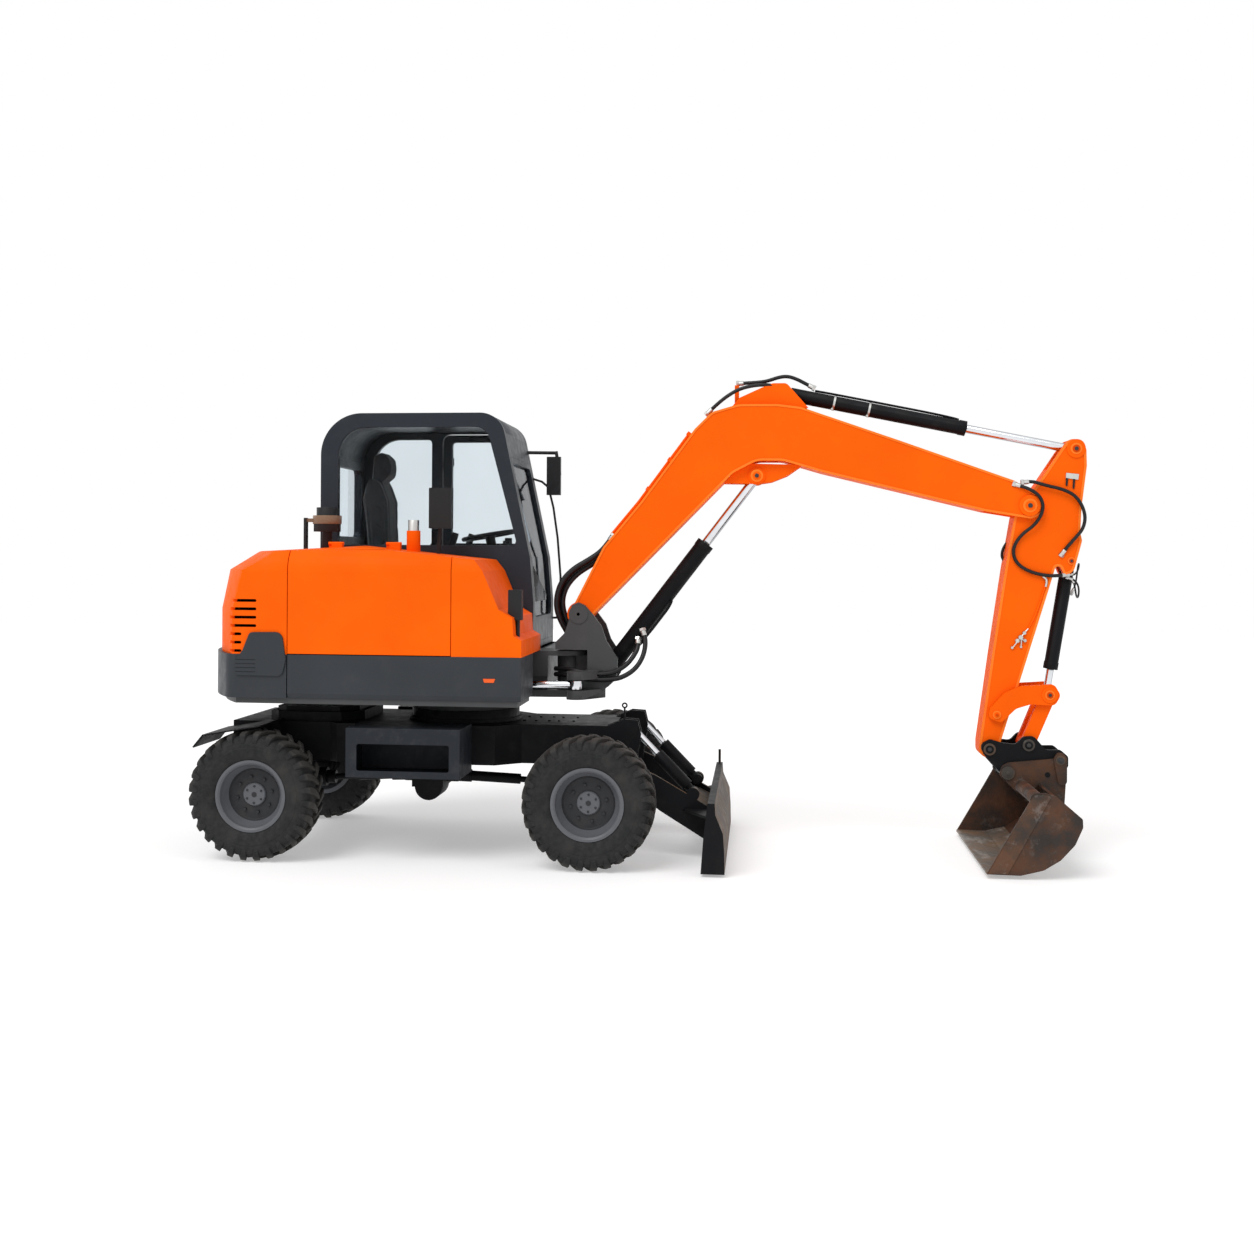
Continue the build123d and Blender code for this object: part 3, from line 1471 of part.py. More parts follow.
def cylinder_rod(piece_start, piece_end, inner, radius, eye_radius, pin_radius):
    # Rod with its eye on piece_end; inner is how far its hidden end lies from piece_start
    tail = toward(piece_start, piece_end, inner)
    bar((tail[0], 0, tail[1]), (piece_end[0], 0, piece_end[1]), radius)
    drum(piece_end, eye_radius, -eye_half_width + 5, eye_half_width - 5)
    drum(piece_end, pin_radius, -eye_half_width, eye_half_width, mode=Mode.SUBTRACT)


with BuildPart() as boom_barrel:
    cylinder_barrel(boom_barrel_pin, boom_rod_pin, boom_barrel_length, boom_barrel_radius, boom_rod_radius,
                    boom_pin_radius - 4, 70)
write(boom_barrel, "boom_barrel")
with BuildPart() as boom_rod:
    cylinder_rod(boom_barrel_pin, boom_rod_pin, 500, boom_rod_radius, 48, boom_pin_radius - 4)
write(boom_rod, "boom_rod")

# Arm with its lever at the top
arm_outline = [
    (3961, 2602),
    (3827, 2394),
    (3679, 2183),
    (3624, 1853),
    (3545, 1302),
    (3470, 742),
    (3470, 645),
    (3580, 645),
    (3600, 742),
    (3711, 1111),
    (3892, 1719),
    (3945, 1904),
    (3985, 1810),
    (4043, 1824),
    (4095, 2028),
    (4083, 2078),
    (4090, 2239),
    (4121, 2500),
    (4118, 2600),
    (4100, 2670),
    (4010, 2670),
]
arm_corners = [0, 60, 60, 0, 0, 0, 50, 50, 0, 0, 0, 20, 18, 60, 40, 40, 0, 0, 0, 52, 52]
with BuildPart() as arm:
    slab(arm_outline, -arm_half_width, arm_half_width, arm_corners)
    panel(arm_outline, arm_corners, 16, arm_half_width, arm_panel_depth)
    slab([(3880, 2480), (4300, 2440), (4300, 2800), (3880, 2800)], -eye_half_width - eye_gap,
         eye_half_width + eye_gap, mode=Mode.SUBTRACT)
    slab([(3975, 2000), (3962, 1910), (3900, 1750), (4300, 1700), (4300, 1975)], -eye_half_width - eye_gap,
         eye_half_width + eye_gap, [30, 0, 0, 0, 0], mode=Mode.SUBTRACT)
    drums(arm_rod_pin, 58, eye_half_width + eye_gap, arm_half_width + 5)
    drum(bucket_barrel_pin, bucket_pin_radius - 5, -arm_half_width, arm_half_width)
    drum(arm_pivot, 62, -arm_half_width - moving_gap + seat_gap, arm_half_width + moving_gap - seat_gap)
    drum(arm_pivot, arm_pin_radius + pin_gap, -200, 200, mode=Mode.SUBTRACT)
    drum(bucket_pivot, bucket_pin_radius + pin_gap, -200, 200, mode=Mode.SUBTRACT)
    drums(rocker_pivot, bucket_pin_radius - 4, arm_half_width - arm_panel_depth - 1, hitch_outer - 1)
write(arm, "arm")

with BuildPart() as arm_barrel:
    cylinder_barrel(arm_barrel_pin, arm_rod_pin, arm_barrel_length, arm_barrel_radius, arm_rod_radius,
                    arm_pin_radius - 4, 62)
write(arm_barrel, "arm_barrel")
with BuildPart() as arm_rod:
    cylinder_rod(arm_barrel_pin, arm_rod_pin, 730, arm_rod_radius, 46, arm_pin_radius - 6)
write(arm_rod, "arm_rod")
with BuildPart() as bucket_barrel:
    cylinder_barrel(bucket_barrel_pin, rocker_pin, bucket_barrel_length, bucket_barrel_radius,
                    bucket_rod_radius, bucket_pin_radius - 5, 55)
write(bucket_barrel, "bucket_barrel")
with BuildPart() as bucket_rod:
    cylinder_rod(bucket_barrel_pin, rocker_pin, 150, bucket_rod_radius, 44, bucket_pin_radius - 5)
write(bucket_rod, "bucket_rod")

# Rocker plates outside the arm and the link down to the hitch
rocker_inner = arm_half_width + moving_gap
rocker_outer = rocker_inner + 25
with BuildPart() as rocker:
    for low, high in ((rocker_inner, rocker_outer), (-rocker_outer, -rocker_inner)):
        slab(
            [(3520, 900), (3600, 870), (3690, 960), (3780, 990), (3930, 985), (3965, 1050), (3925, 1120),
             (3720, 1105), (3620, 1060), (3530, 960)],
            low,
            high,
            [30, 30, 60, 60, 40, 40, 40, 80, 60, 30],
        )
    drums(rocker_pin, 50, rocker_inner, rocker_outer + 6)
    drums(rocker_pivot, bucket_pin_radius - 4 + pin_gap, 0, 300, mode=Mode.SUBTRACT)
write(rocker, "rocker")

with BuildPart() as push_link:
    for low, high in ((eye_half_width + eye_gap, rocker_inner - moving_gap),
                      (-rocker_inner + moving_gap, -eye_half_width - eye_gap)):
        link(rocker_pin, link_pin, 46, 44, low, high)
    drum(link_pin, 44, -rocker_inner + moving_gap, rocker_inner - moving_gap)
    web_end = toward(link_pin, rocker_pin, 150)
    link(link_pin, web_end, 30, 22, -eye_half_width - 10, eye_half_width + 10)
    drum(link_pin, bucket_pin_radius + pin_gap, -200, 200, mode=Mode.SUBTRACT)
write(push_link, "push_link")

# Quick hitch: two cheeks with the pins of the arm and the link
hitch_outline = [
    (3463, 727),
    (3500, 660),
    (3590, 560),
    (3612, 505),
    (3680, 520),
    (3720, 600),
    (3925, 600),
    (3960, 560),
    (4012, 600),
    (4012, 665),
    (3965, 706),
    (3876, 704),
    (3800, 790),
    (3735, 785),
    (3690, 735),
    (3600, 745),
    (3531, 765),
]
with BuildPart() as hitch:
    slabs(hitch_outline, hitch_inner, hitch_outer, [40, 60, 60, 40, 40, 40, 30, 25, 25, 30, 30, 30, 40, 40,
            40, 40, 40])
    slab([(3640, 600), (3930, 610), (3930, 640), (3640, 640)], -hitch_inner, hitch_inner)
    slab([(3600, 540), (3680, 545), (3680, 640), (3600, 600)], -hitch_inner, hitch_inner)
    drum(bucket_pivot, bucket_pin_radius, -hitch_outer - 8, hitch_outer + 8)
    drum(link_pin, bucket_pin_radius, -hitch_outer - 8, hitch_outer + 8)
    drum(bucket_front_pin, bucket_pin_radius + seat_gap, -300, 300, mode=Mode.SUBTRACT)
    drum(bucket_rear_pin, bucket_pin_radius + seat_gap, -300, 300, mode=Mode.SUBTRACT)
write(hitch, "hitch")

# Bucket: a wide smooth lipped shell with ears welded on a cross tube
lip = (3430, 28)
shell_outline = [lip, (3627, 25), (3760, 60), (3857, 122), (3940, 215), (3985, 320), (3983, 370),
                 (3832, 500)]
with BuildPart() as bucket:
    side_outline = [lip, (3627, 25), (3760, 60), (3857, 122), (3940, 215), (3985, 320), (3983, 370),
                    (3832, 500), (3763, 520), (3700, 515), (3680, 470)]
    slabs(side_outline, bucket_half_width - bucket_side_wall, bucket_half_width,
          [0, 0, 60, 60, 60, 20, 20, 0, 20, 30, 0])
    with BuildSketch(side(bucket_half_width - bucket_side_wall)) as shell:
        with BuildLine():
            FilletPolyline(*shell_outline, radius=[0, 60, 60, 60, 20, 20])
            offset(amount=bucket_shell, side=Side.LEFT)
        make_face()
    extrude(shell.sketch, amount=2 * (bucket_half_width - bucket_side_wall))
    drum(tube_centre, tube_radius, -bucket_half_width, bucket_half_width)
    ear_outline = [(3585, 545), (3600, 600), (3640, 622), (3919, 652), (3940, 690), (3985, 690),
                   (4000, 640), (3992, 500), (3985, 370), (3935, 400), (3832, 488), (3740, 420), (3700,
                           430)]
    slabs(ear_outline, bucket_ear_inner, bucket_ear_outer, [30, 30, 20, 0, 20, 30, 20, 10, 0, 0, 0, 20, 20])
    drum(bucket_front_pin, bucket_pin_radius, -bucket_ear_outer - 8, bucket_ear_outer + 8)
    drum(bucket_rear_pin, bucket_pin_radius, -bucket_ear_outer - 8, bucket_ear_outer + 8)
    for low, high in ((bucket_ear_outer, bucket_ear_outer + 14),
                      (-bucket_ear_outer - 14, -bucket_ear_outer)):
        link(bucket_rear_pin, (bucket_rear_pin[0] + 12, bucket_rear_pin[1] - 128), 40, 28, low, high)
write(bucket, "bucket")

# Air pre-cleaner and filler neck on the hood
with BuildPart() as hood_fittings:
    column(-741, -330, 34, hood_top - 80, 2090)
    column(-741, -330, 88, 2060, 2110)
    column(-741, -330, 94, 2110, 2165)
    column(-741, -330, 70, 2165, 2218)
    block((-894, -876), (-352, -308), (hood_top - 80, 2150))
    block((-894, -825), (-340, -320), (2122, 2146))
    column(-170, -300, 45, hood_top - 80, 2069)
    column(-170, -300, 36, 2069, 2138)
    add(hood_form, mode=Mode.SUBTRACT)
write(hood_fittings, "hood_fittings")

# Mirrors on the hood, the front cover and the cab
with BuildPart() as mirrors:
    bar((-17, -250, hood_top - 100), (5, -250, 2210), 13)
    block((-70, 80), (-300, -235), (2085, 2350))
    bar((600, -800, skirt_top + 50), (600, -800, 1600), 14)
    block((545, 630), (-840, -780), (1515, 1700))
    add(hood_form, mode=Mode.SUBTRACT)
    bar((380, 880, 2656), (600, 950, 2658), 12)
    bar((600, 950, 2670), (628, 950, 2498), 12)
    block((535, 635), (925, 975), (2352, 2629))
    stay = [(430, 880, 2470), (500, 930, 2448), (548, 936, 2408), (585, 936, 2260), (617, 936, 2040),
            (640, 936, 1760),
            (636, 936, 1500), (612, 930, 1463), (520, 880, 1463)]
    for start, end in zip(stay, stay[1:]):
        bar(start, end, 8)
    with Locations(*stay[1:-1]):
        Sphere(8)
    slab(cab_outline, cab_right_outer, cab_left_y, cab_corners, mode=Mode.SUBTRACT)
write(mirrors, "mirrors")
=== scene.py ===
import json
from math import cos, exp, pi, radians, sin

import bmesh
import bpy
from mathutils import Matrix, Vector


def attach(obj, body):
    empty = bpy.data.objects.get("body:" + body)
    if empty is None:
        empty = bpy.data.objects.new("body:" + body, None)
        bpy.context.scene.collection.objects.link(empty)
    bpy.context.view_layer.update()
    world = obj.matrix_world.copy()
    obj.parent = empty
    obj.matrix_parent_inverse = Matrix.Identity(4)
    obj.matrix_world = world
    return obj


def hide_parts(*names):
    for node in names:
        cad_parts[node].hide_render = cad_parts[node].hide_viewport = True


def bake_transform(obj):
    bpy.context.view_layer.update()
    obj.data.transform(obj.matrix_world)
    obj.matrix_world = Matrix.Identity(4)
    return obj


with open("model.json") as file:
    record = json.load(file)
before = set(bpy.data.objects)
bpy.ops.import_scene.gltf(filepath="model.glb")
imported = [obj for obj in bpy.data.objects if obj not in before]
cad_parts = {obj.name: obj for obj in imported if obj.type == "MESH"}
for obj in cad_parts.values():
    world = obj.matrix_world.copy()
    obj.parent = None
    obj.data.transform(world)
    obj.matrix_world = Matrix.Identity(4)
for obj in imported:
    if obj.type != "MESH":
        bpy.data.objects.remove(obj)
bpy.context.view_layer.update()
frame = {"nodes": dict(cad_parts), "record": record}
nodes = frame["nodes"]

# Points are written in the machine's own millimetres: X forward from the middle of the
# wheelbase, Y to the left, Z up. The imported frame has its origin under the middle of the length.
MIDDLE_X = 1341.5
RIGHT = (0, -1, 0)
LEFT = (0, 1, 0)
WHEEL_HEIGHT = 408
WHEEL_PLANE = 807.5
CORNERS = (
    # name, x of the axle, hand
    ("front_left", 1050, 1), ("front_right", 1050, -1),
    ("rear_left", -1050, 1), ("rear_right", -1050, -1),
)


def at(x, y, z):
    return Vector(((x - MIDDLE_X) / 1000, y / 1000, z / 1000))


def machine_place(point):
    # The way back from at()
    return point.x * 1000 + MIDDLE_X, point.y * 1000, point.z * 1000


def link(piece):
    bpy.context.collection.objects.link(piece)


# ---------------------------------------------------------------- camera
def make_camera():
    yaw, roll = radians(7.15), radians(0.36)
    right = Vector((cos(yaw), sin(yaw), 0))
    forward = Vector((-sin(yaw), cos(yaw), 0))
    up = Vector((0, 0, 1))
    camera_right = right * cos(roll) + up * sin(roll)
    camera_up = up * cos(roll) - right * sin(roll)
    data = bpy.data.cameras.new("camera")
    data.sensor_width = 36
    data.lens = 44.9
    data.shift_x = 0.0486
    data.shift_y = -0.0566
    data.clip_end = 200
    camera = bpy.data.objects.new("camera", data)
    columns = Matrix((camera_right, camera_up, -forward)).transposed()
    camera.matrix_world = Matrix.Translation((0.7485, -10.31, 1.91)) @ columns.to_4x4()
    link(camera)
    bpy.context.scene.camera = camera


make_camera()


# ---------------------------------------------------------------- shader parts
def new_material(name):
    material = bpy.data.materials.new(name)
    material.use_nodes = True
    tree = material.node_tree
    return material, tree, tree.nodes["Principled BSDF"]


def noise(tree, scale, detail=4, rough=0.55, stretch=(1, 1, 1)):
    place = tree.nodes.new("ShaderNodeTexCoord")
    mapping = tree.nodes.new("ShaderNodeMapping")
    mapping.inputs["Scale"].default_value = stretch
    texture = tree.nodes.new("ShaderNodeTexNoise")
    texture.inputs["Scale"].default_value = scale
    texture.inputs["Detail"].default_value = detail
    texture.inputs["Roughness"].default_value = rough
    tree.links.new(place.outputs["Object"], mapping.inputs["Vector"])
    tree.links.new(mapping.outputs["Vector"], texture.inputs["Vector"])
    return texture.outputs["Fac"]


def spread(tree, value, low, high, out_low=0.0, out_high=1.0):
    node = tree.nodes.new("ShaderNodeMapRange")
    node.inputs["From Min"].default_value = low
    node.inputs["From Max"].default_value = high
    node.inputs["To Min"].default_value = out_low
    node.inputs["To Max"].default_value = out_high
    tree.links.new(value, node.inputs["Value"])
    return node.outputs["Result"]


def blend_colours(tree, share, first, second):
    # Inputs 6 and 7 and output 2 are the Mix node's sockets for colours
    node = tree.nodes.new("ShaderNodeMix")
    node.data_type = "RGBA"
    tree.links.new(share, node.inputs["Factor"])
    for socket, colour in ((node.inputs[6], first), (node.inputs[7], second)):
        if isinstance(colour, bpy.types.NodeSocket):
            tree.links.new(colour, socket)
        else:
            socket.default_value = (*colour, 1)
    return node.outputs[2]


def combine(tree, operation, first, second):
    node = tree.nodes.new("ShaderNodeMath")
    node.operation = operation
    for socket, value in zip(node.inputs, (first, second)):
        if isinstance(value, (int, float)):
            socket.default_value = value
        else:
            tree.links.new(value, socket)
    return node.outputs[0]


def product(tree, first, second):
    return combine(tree, "MULTIPLY", first, second)


def bump(tree, shader, height, strength, distance):
    node = tree.nodes.new("ShaderNodeBump")
    node.inputs["Strength"].default_value = strength
    node.inputs["Distance"].default_value = distance
    tree.links.new(height, node.inputs["Height"])
    tree.links.new(node.outputs["Normal"], shader.inputs["Normal"])


def colour_with(tree, shader, tone):
    tree.links.new(tone, shader.inputs["Base Color"])


def vary_roughness(tree, shader, pattern, smooth, rough, low=0.3, high=0.7):
    result = spread(tree, pattern, low, high, smooth, rough)
    tree.links.new(result, shader.inputs["Roughness"])


def scaled(colour, factor):
    return tuple(min(1.0, channel * factor) for channel in colour)


# ---------------------------------------------------------------- kinds of material
def paint(name, colour, roughness, gloss, grime=(0.2, 0.16, 0.12), grime_share=0.15, fine=0.02,
          grain=260):
    # Sprayed paint: slow changes of tone, a little dust, orange peel and worn gloss
    material, tree, shader = new_material(name)
    slow = spread(tree, noise(tree, 2.3, 5), 0.35, 0.65)
    tone = blend_colours(tree, slow, scaled(colour, 0.93), scaled(colour, 1.05))
    dust = spread(tree, noise(tree, 9, 9, 0.68), 0.52, 0.8, 0, grime_share)
    colour_with(tree, shader, blend_colours(tree, dust, tone, grime))
    vary_roughness(tree, shader, noise(tree, 14, 6), roughness - 0.07, roughness + 0.08)
    shader.inputs["Specular IOR Level"].default_value = gloss
    bump(tree, shader, noise(tree, grain, 2), fine, 0.002)
    return material


def metal(name, colour, rim, roughness, scale=180, stretch=(1, 1, 1)):
    # Plated steel with a painted reflection: turned away from the eye it is painted in the darker
    # rim colour
    material, tree, shader = new_material(name)
    slow = spread(tree, noise(tree, 6, 6), 0.3, 0.7)
    tone = blend_colours(tree, slow, scaled(colour, 0.86), scaled(colour, 1.06))
    # Painted reflection: the colour goes over to rim as the surface turns away from the eye
    painted_reflection_weight = tree.nodes.new("ShaderNodeLayerWeight")
    painted_reflection_weight.inputs["Blend"].default_value = 0.5
    away = spread(tree, painted_reflection_weight.outputs["Facing"], 0.25, 0.85)
    colour_with(tree, shader, blend_colours(tree, away, tone, rim))
    vary_roughness(
        tree, shader, noise(tree, 30, 5, 0.6, stretch), roughness * 0.75, roughness * 1.35)
    shader.inputs["Metallic"].default_value = 1
    bump(tree, shader, noise(tree, scale, 3, 0.6, stretch), 0.05, 0.001)
    return material


def axle_distance(tree):
    # Distance of a point from the piece's own axis Y
    place = tree.nodes.new("ShaderNodeTexCoord")
    flat = tree.nodes.new("ShaderNodeVectorMath")
    flat.operation = "MULTIPLY"
    flat.inputs[1].default_value = (1, 0, 1)
    reach = tree.nodes.new("ShaderNodeVectorMath")
    reach.operation = "LENGTH"
    tree.links.new(place.outputs["Object"], flat.inputs[0])
    tree.links.new(flat.outputs["Vector"], reach.inputs[0])
    return reach.outputs["Value"]


def rubber(name, colour, dust_colour, dust, roughness=0.75, fine=0.12, tread=None):
    # tread: distance in metres from the axis beyond which a tyre is scuffed and dusty
    material, tree, shader = new_material(name)
    slow = spread(tree, noise(tree, 5, 6), 0.35, 0.65)
    tone = blend_colours(tree, slow, scaled(colour, 0.8), scaled(colour, 1.2))
    dusty = spread(tree, noise(tree, 17, 10, 0.7), 0.42, 0.72, 0, dust)
    tone = blend_colours(tree, dusty, tone, dust_colour)
    if tread:
        reach = axle_distance(tree)
        outer = spread(tree, reach, tread - 0.02, tread + 0.018)
        scuffed = product(tree, outer, spread(tree, noise(tree, 11, 8), 0.3, 0.6, 0.35, 1))
        tone = blend_colours(tree, scuffed, tone, scaled(dust_colour, 0.85))
        inner = spread(tree, reach, 0.35, 0.3)
        smear = product(tree, inner, spread(tree, noise(tree, 4, 7), 0.45, 0.7, 0, 0.5))
        tone = blend_colours(tree, smear, tone, scaled(dust_colour, 0.6))
    colour_with(tree, shader, tone)
    vary_roughness(tree, shader, noise(tree, 40, 6), roughness - 0.1, roughness + 0.12)
    shader.inputs["Specular IOR Level"].default_value = 0.3
    bump(tree, shader, noise(tree, 120, 6, 0.7), fine, 0.003)
    return material


def rusty_steel(name, dark, rust, bright, rust_share, bright_share, roughness=0.62):
    # Bare steel that digs: dark scale, patches of rust and places rubbed bright
    material, tree, shader = new_material(name)
    patches = spread(
        tree, noise(tree, 5.5, 12, 0.66), 0.5 - rust_share * 0.12, 0.66 - rust_share * 0.06)
    tone = blend_colours(tree, patches, dark, rust)
    streaks = spread(
        tree, noise(tree, 7, 10, 0.7, (1, 0.35, 1)), 0.6 - bright_share * 0.1, 0.72)
    tone = blend_colours(tree, product(tree, streaks, bright_share), tone, bright)
    specks = spread(tree, noise(tree, 90, 8, 0.75), 0.55, 0.75, 0, 0.45)
    colour_with(tree, shader, blend_colours(tree, specks, tone, scaled(rust, 0.55)))
    vary_roughness(tree, shader, noise(tree, 22, 8), roughness - 0.14, roughness + 0.18)
    tree.links.new(product(tree, streaks, 0.5 * bright_share), shader.inputs["Metallic"])
    shader.inputs["Specular IOR Level"].default_value = 0.35
    bump(tree, shader, noise(tree, 55, 10, 0.72), 0.35, 0.004)
    return material


def tinted_glass(name, colour, roughness=0.0, bend=1.12, shine=0.5):
    material, tree, shader = new_material(name)
    slow = spread(tree, noise(tree, 1.7, 4), 0.3, 0.7)
    colour_with(tree, shader, blend_colours(tree, slow, scaled(colour, 0.96), colour))
    vary_roughness(tree, shader, noise(tree, 3, 6), roughness, roughness + 0.03, 0.45, 0.8)
    shader.inputs["Transmission Weight"].default_value = 1
    shader.inputs["IOR"].default_value = bend
    shader.inputs["Specular IOR Level"].default_value = shine
    return material


def cloth(name, colour):
    # Woven seat cover, paler where it is worn
    material, tree, shader = new_material(name)
    weave = tree.nodes.new("ShaderNodeTexVoronoi")
    place = tree.nodes.new("ShaderNodeTexCoord")
    tree.links.new(place.outputs["Object"], weave.inputs["Vector"])
    weave.inputs["Scale"].default_value = 420
    thread = weave.outputs["Distance"]
    tone = blend_colours(
        tree, spread(tree, thread, 0.0, 0.7), scaled(colour, 1.35), scaled(colour, 0.7))
    wear = spread(tree, noise(tree, 8, 8), 0.45, 0.8, 0, 0.35)
    colour_with(tree, shader, blend_colours(tree, wear, tone, scaled(colour, 1.9)))
    shader.inputs["Roughness"].default_value = 0.92
    shader.inputs["Sheen Weight"].default_value = 0.25
    shader.inputs["Specular IOR Level"].default_value = 0.2
    bump(tree, shader, thread, 0.4, 0.0012)
    return material


# ---------------------------------------------------------------- this machine's materials
orange = paint("orange_paint", (0.96, 0.118, 0.0015), 0.52, 0.05, (0.5, 0.13, 0.03), 0.06)
# Lit and shaded copies of the orange: painted highlight and painted shade
orange_painted_highlight = paint("orange_painted_highlight", (1.0, 0.2, 0.02), 0.54, 0.05, (0.6, 0.2, 0.08), 0.1)
orange_painted_shade = paint("orange_painted_shade", (0.66, 0.062, 0.001), 0.54, 0.05, (0.3, 0.09, 0.03), 0.15)
dark_grey = paint("dark_grey_paint", (0.032, 0.036, 0.042), 0.46, 0.2, (0.11, 0.1, 0.1), 0.1)
post_grey = paint("post_paint", (0.056, 0.058, 0.06), 0.46, 0.22, (0.12, 0.11, 0.1), 0.15)
step_paint = paint(
    "step_paint", (0.0125, 0.0155, 0.021), 0.5, 0.22, (0.1, 0.1, 0.1), 0.25, 0.15, 150)
cab_grey = paint("cab_paint", (0.018, 0.024, 0.032), 0.42, 0.2, (0.09, 0.09, 0.09), 0.1)
black_paint = paint(
    "black_paint", (0.0042, 0.0045, 0.0056), 0.52, 0.13, (0.045, 0.042, 0.038), 0.22)
rim_paint = paint("rim_paint", (0.105, 0.11, 0.122), 0.42, 0.3, (0.06, 0.055, 0.05), 0.3)
disc_paint = paint("disc_paint", (0.026, 0.027, 0.03), 0.5, 0.25, (0.07, 0.062, 0.055), 0.4)
engine_iron = paint("engine_iron", (0.035, 0.035, 0.037), 0.6, 0.3, (0.08, 0.065, 0.05), 0.4)
black_plastic = paint(
    "black_plastic", (0.0095, 0.0105, 0.012), 0.5, 0.28, (0.05, 0.05, 0.05), 0.1, 0.1, 700)
cleaner_bowl = paint("cleaner_bowl", (0.2, 0.12, 0.065), 0.3, 0.5)
reflector = paint("orange_reflector", (0.85, 0.11, 0.01), 0.35, 0.3)
# The second colour of each metal is the dark of its painted reflection
chrome = metal("rod_chrome", (0.8, 0.82, 0.85), (0.09, 0.1, 0.12), 0.14, 300, (0.2, 1, 1))
zinc = metal("zinc_plating", (0.6, 0.6, 0.58), (0.22, 0.22, 0.22), 0.38)
tyre_rubber = rubber("tyre_rubber", (0.0105, 0.011, 0.012), (0.06, 0.055, 0.05), 0.3, tread=0.39)
hose_rubber = rubber(
    "hose_rubber", (0.007, 0.007, 0.008), (0.04, 0.038, 0.036), 0.1, 0.42, 0.04)
side_steel = rusty_steel(
    "side_strip_steel", (0.03, 0.021, 0.016), (0.1, 0.045, 0.022), (0.33, 0.31, 0.3), 0.8, 0.5)
worn_bucket = rusty_steel(
    "bucket_steel", (0.02, 0.014, 0.011), (0.075, 0.03, 0.013), (0.26, 0.24, 0.22), 0.9, 0.35)
worn_edge = rusty_steel(
    "edge_steel", (0.1, 0.085, 0.07), (0.16, 0.1, 0.06), (0.5, 0.47, 0.43), 0.6, 0.9, 0.5)
pin_steel = rusty_steel(
    "pin_steel", (0.045, 0.038, 0.032), (0.1, 0.055, 0.03), (0.3, 0.28, 0.26), 0.5, 0.5)
worn_blade = rusty_steel(
    "blade_steel", (0.05, 0.042, 0.034), (0.12, 0.075, 0.045), (0.24, 0.22, 0.2), 1.0, 0.3)
glass = tinted_glass("cab_glass_tint", (0.84, 0.885, 0.91))
windscreen_glass = tinted_glass("windscreen_tint", (0.5, 0.55, 0.6), 0.02, 1.06, 0.2)
seat_cloth = cloth("seat_cloth", (0.03, 0.034, 0.038))

SLOT_MATERIALS = {
    "orange": orange,
    "dark_grey": dark_grey,
    "cab_grey": cab_grey,
    "black_paint": black_paint,
    "rim_grey": rim_paint,
    "tyre": tyre_rubber,
    "rod_chrome": chrome,
    "worn_steel": worn_bucket,
    "iron": engine_iron,
    "glass": glass,
    "seat_cloth": seat_cloth,
    "black_plastic": black_plastic,
}
NODE_MATERIALS = {
    "blade": black_paint,
    "steps": step_paint,
    "swing_post": post_grey,
    "upper_frame": post_grey,
    "windscreen": windscreen_glass,
}


def split_material(node, material, test):
    # Gives one part of a node's surface its own material, by each face's middle and direction
    piece = nodes[node]
    piece.data.materials.append(material)
    index = len(piece.data.materials) - 1
    turn = piece.matrix_world.to_3x3()
    for face in piece.data.polygons:
        place = machine_place(piece.matrix_world @ face.center)
        if test(place, turn @ face.normal):
            face.material_index = index


def axle_reach(place, x):
    return ((place[0] - x) ** 2 + (place[2] - WHEEL_HEIGHT) ** 2) ** 0.5


def dress_nodes():
    slots = {entry["node"]: entry["material_slot"] for entry in frame["record"]["subparts"]}
    for name, piece in nodes.items():
        material = NODE_MATERIALS.get(name) or SLOT_MATERIALS.get(slots.get(name), black_paint)
        piece.data.materials.clear()
        piece.data.materials.append(material)

    # Filler neck with its plated cap, and the air cleaner's bowl
    split_material("hood_fittings", orange, lambda p, n: p[0] > -300 and p[2] < 2075)
    split_material("hood_fittings", zinc, lambda p, n: p[0] > -300 and p[2] >= 2075)
    split_material("hood_fittings", cleaner_bowl, lambda p, n: p[0] < -600 and 2111 < p[2] < 2164)

    # The blade's front and the bucket's lower edge
    split_material("blade", worn_blade, lambda p, n: n.x > 0.15)
    split_material("bucket", worn_edge, lambda p, n: p[2] < 62)

    # Raised borders on the sides of the boom and the arm: painted highlight on their faces and
    # painted shade on their steps
    split_material("boom", orange_painted_highlight, lambda p, n: abs(n.y) > 0.9 and 129 < abs(p[1]) < 131)
    split_material("boom", orange_painted_shade, lambda p, n: abs(n.y) < 0.3 and 126.6 < abs(p[1]) < 130.4)
    split_material("arm", orange_painted_highlight, lambda p, n: abs(n.y) > 0.9 and 99.5 < abs(p[1]) < 100.5)
    split_material("arm", orange_painted_shade, lambda p, n: abs(n.y) < 0.3 and 97.1 < abs(p[1]) < 99.9)

    # The disc inside each rim
    for corner, x, _ in CORNERS:
        split_material(f"wheel_{corner}", disc_paint, lambda p, n: 74 < axle_reach(p, x) < 168)


# ---------------------------------------------------------------- mesh helpers
def evaluated_mesh(piece, name):
    bpy.context.view_layer.update()
    graph = bpy.context.evaluated_depsgraph_get()
    mesh = bpy.data.meshes.new_from_object(piece.evaluated_get(graph))
    mesh.name = name
    return mesh


def finish_mesh(name, builder, material, body, smooth=40, origin=None):
    mesh = bpy.data.meshes.new(name)
    if origin:
        bmesh.ops.translate(builder, vec=-origin, verts=builder.verts)
    builder.normal_update()
    builder.to_mesh(mesh)
    builder.free()
    piece = bpy.data.objects.new(name, mesh)
    if origin:
        piece.location = origin
    link(piece)
    bpy.context.view_layer.update()
    mesh.materials.append(material)
    mesh.shade_smooth()
    mesh.set_sharp_from_angle(angle=radians(smooth))
    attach(piece, body)
    return piece


def bridge(builder, first, second, closed=True):
    # Faces of four corners between two rows of as many points
    count = len(first)
    for index in range(count if closed else count - 1):
        following = (index + 1) % count
        builder.faces.new((first[index], first[following], second[following], second[index]))


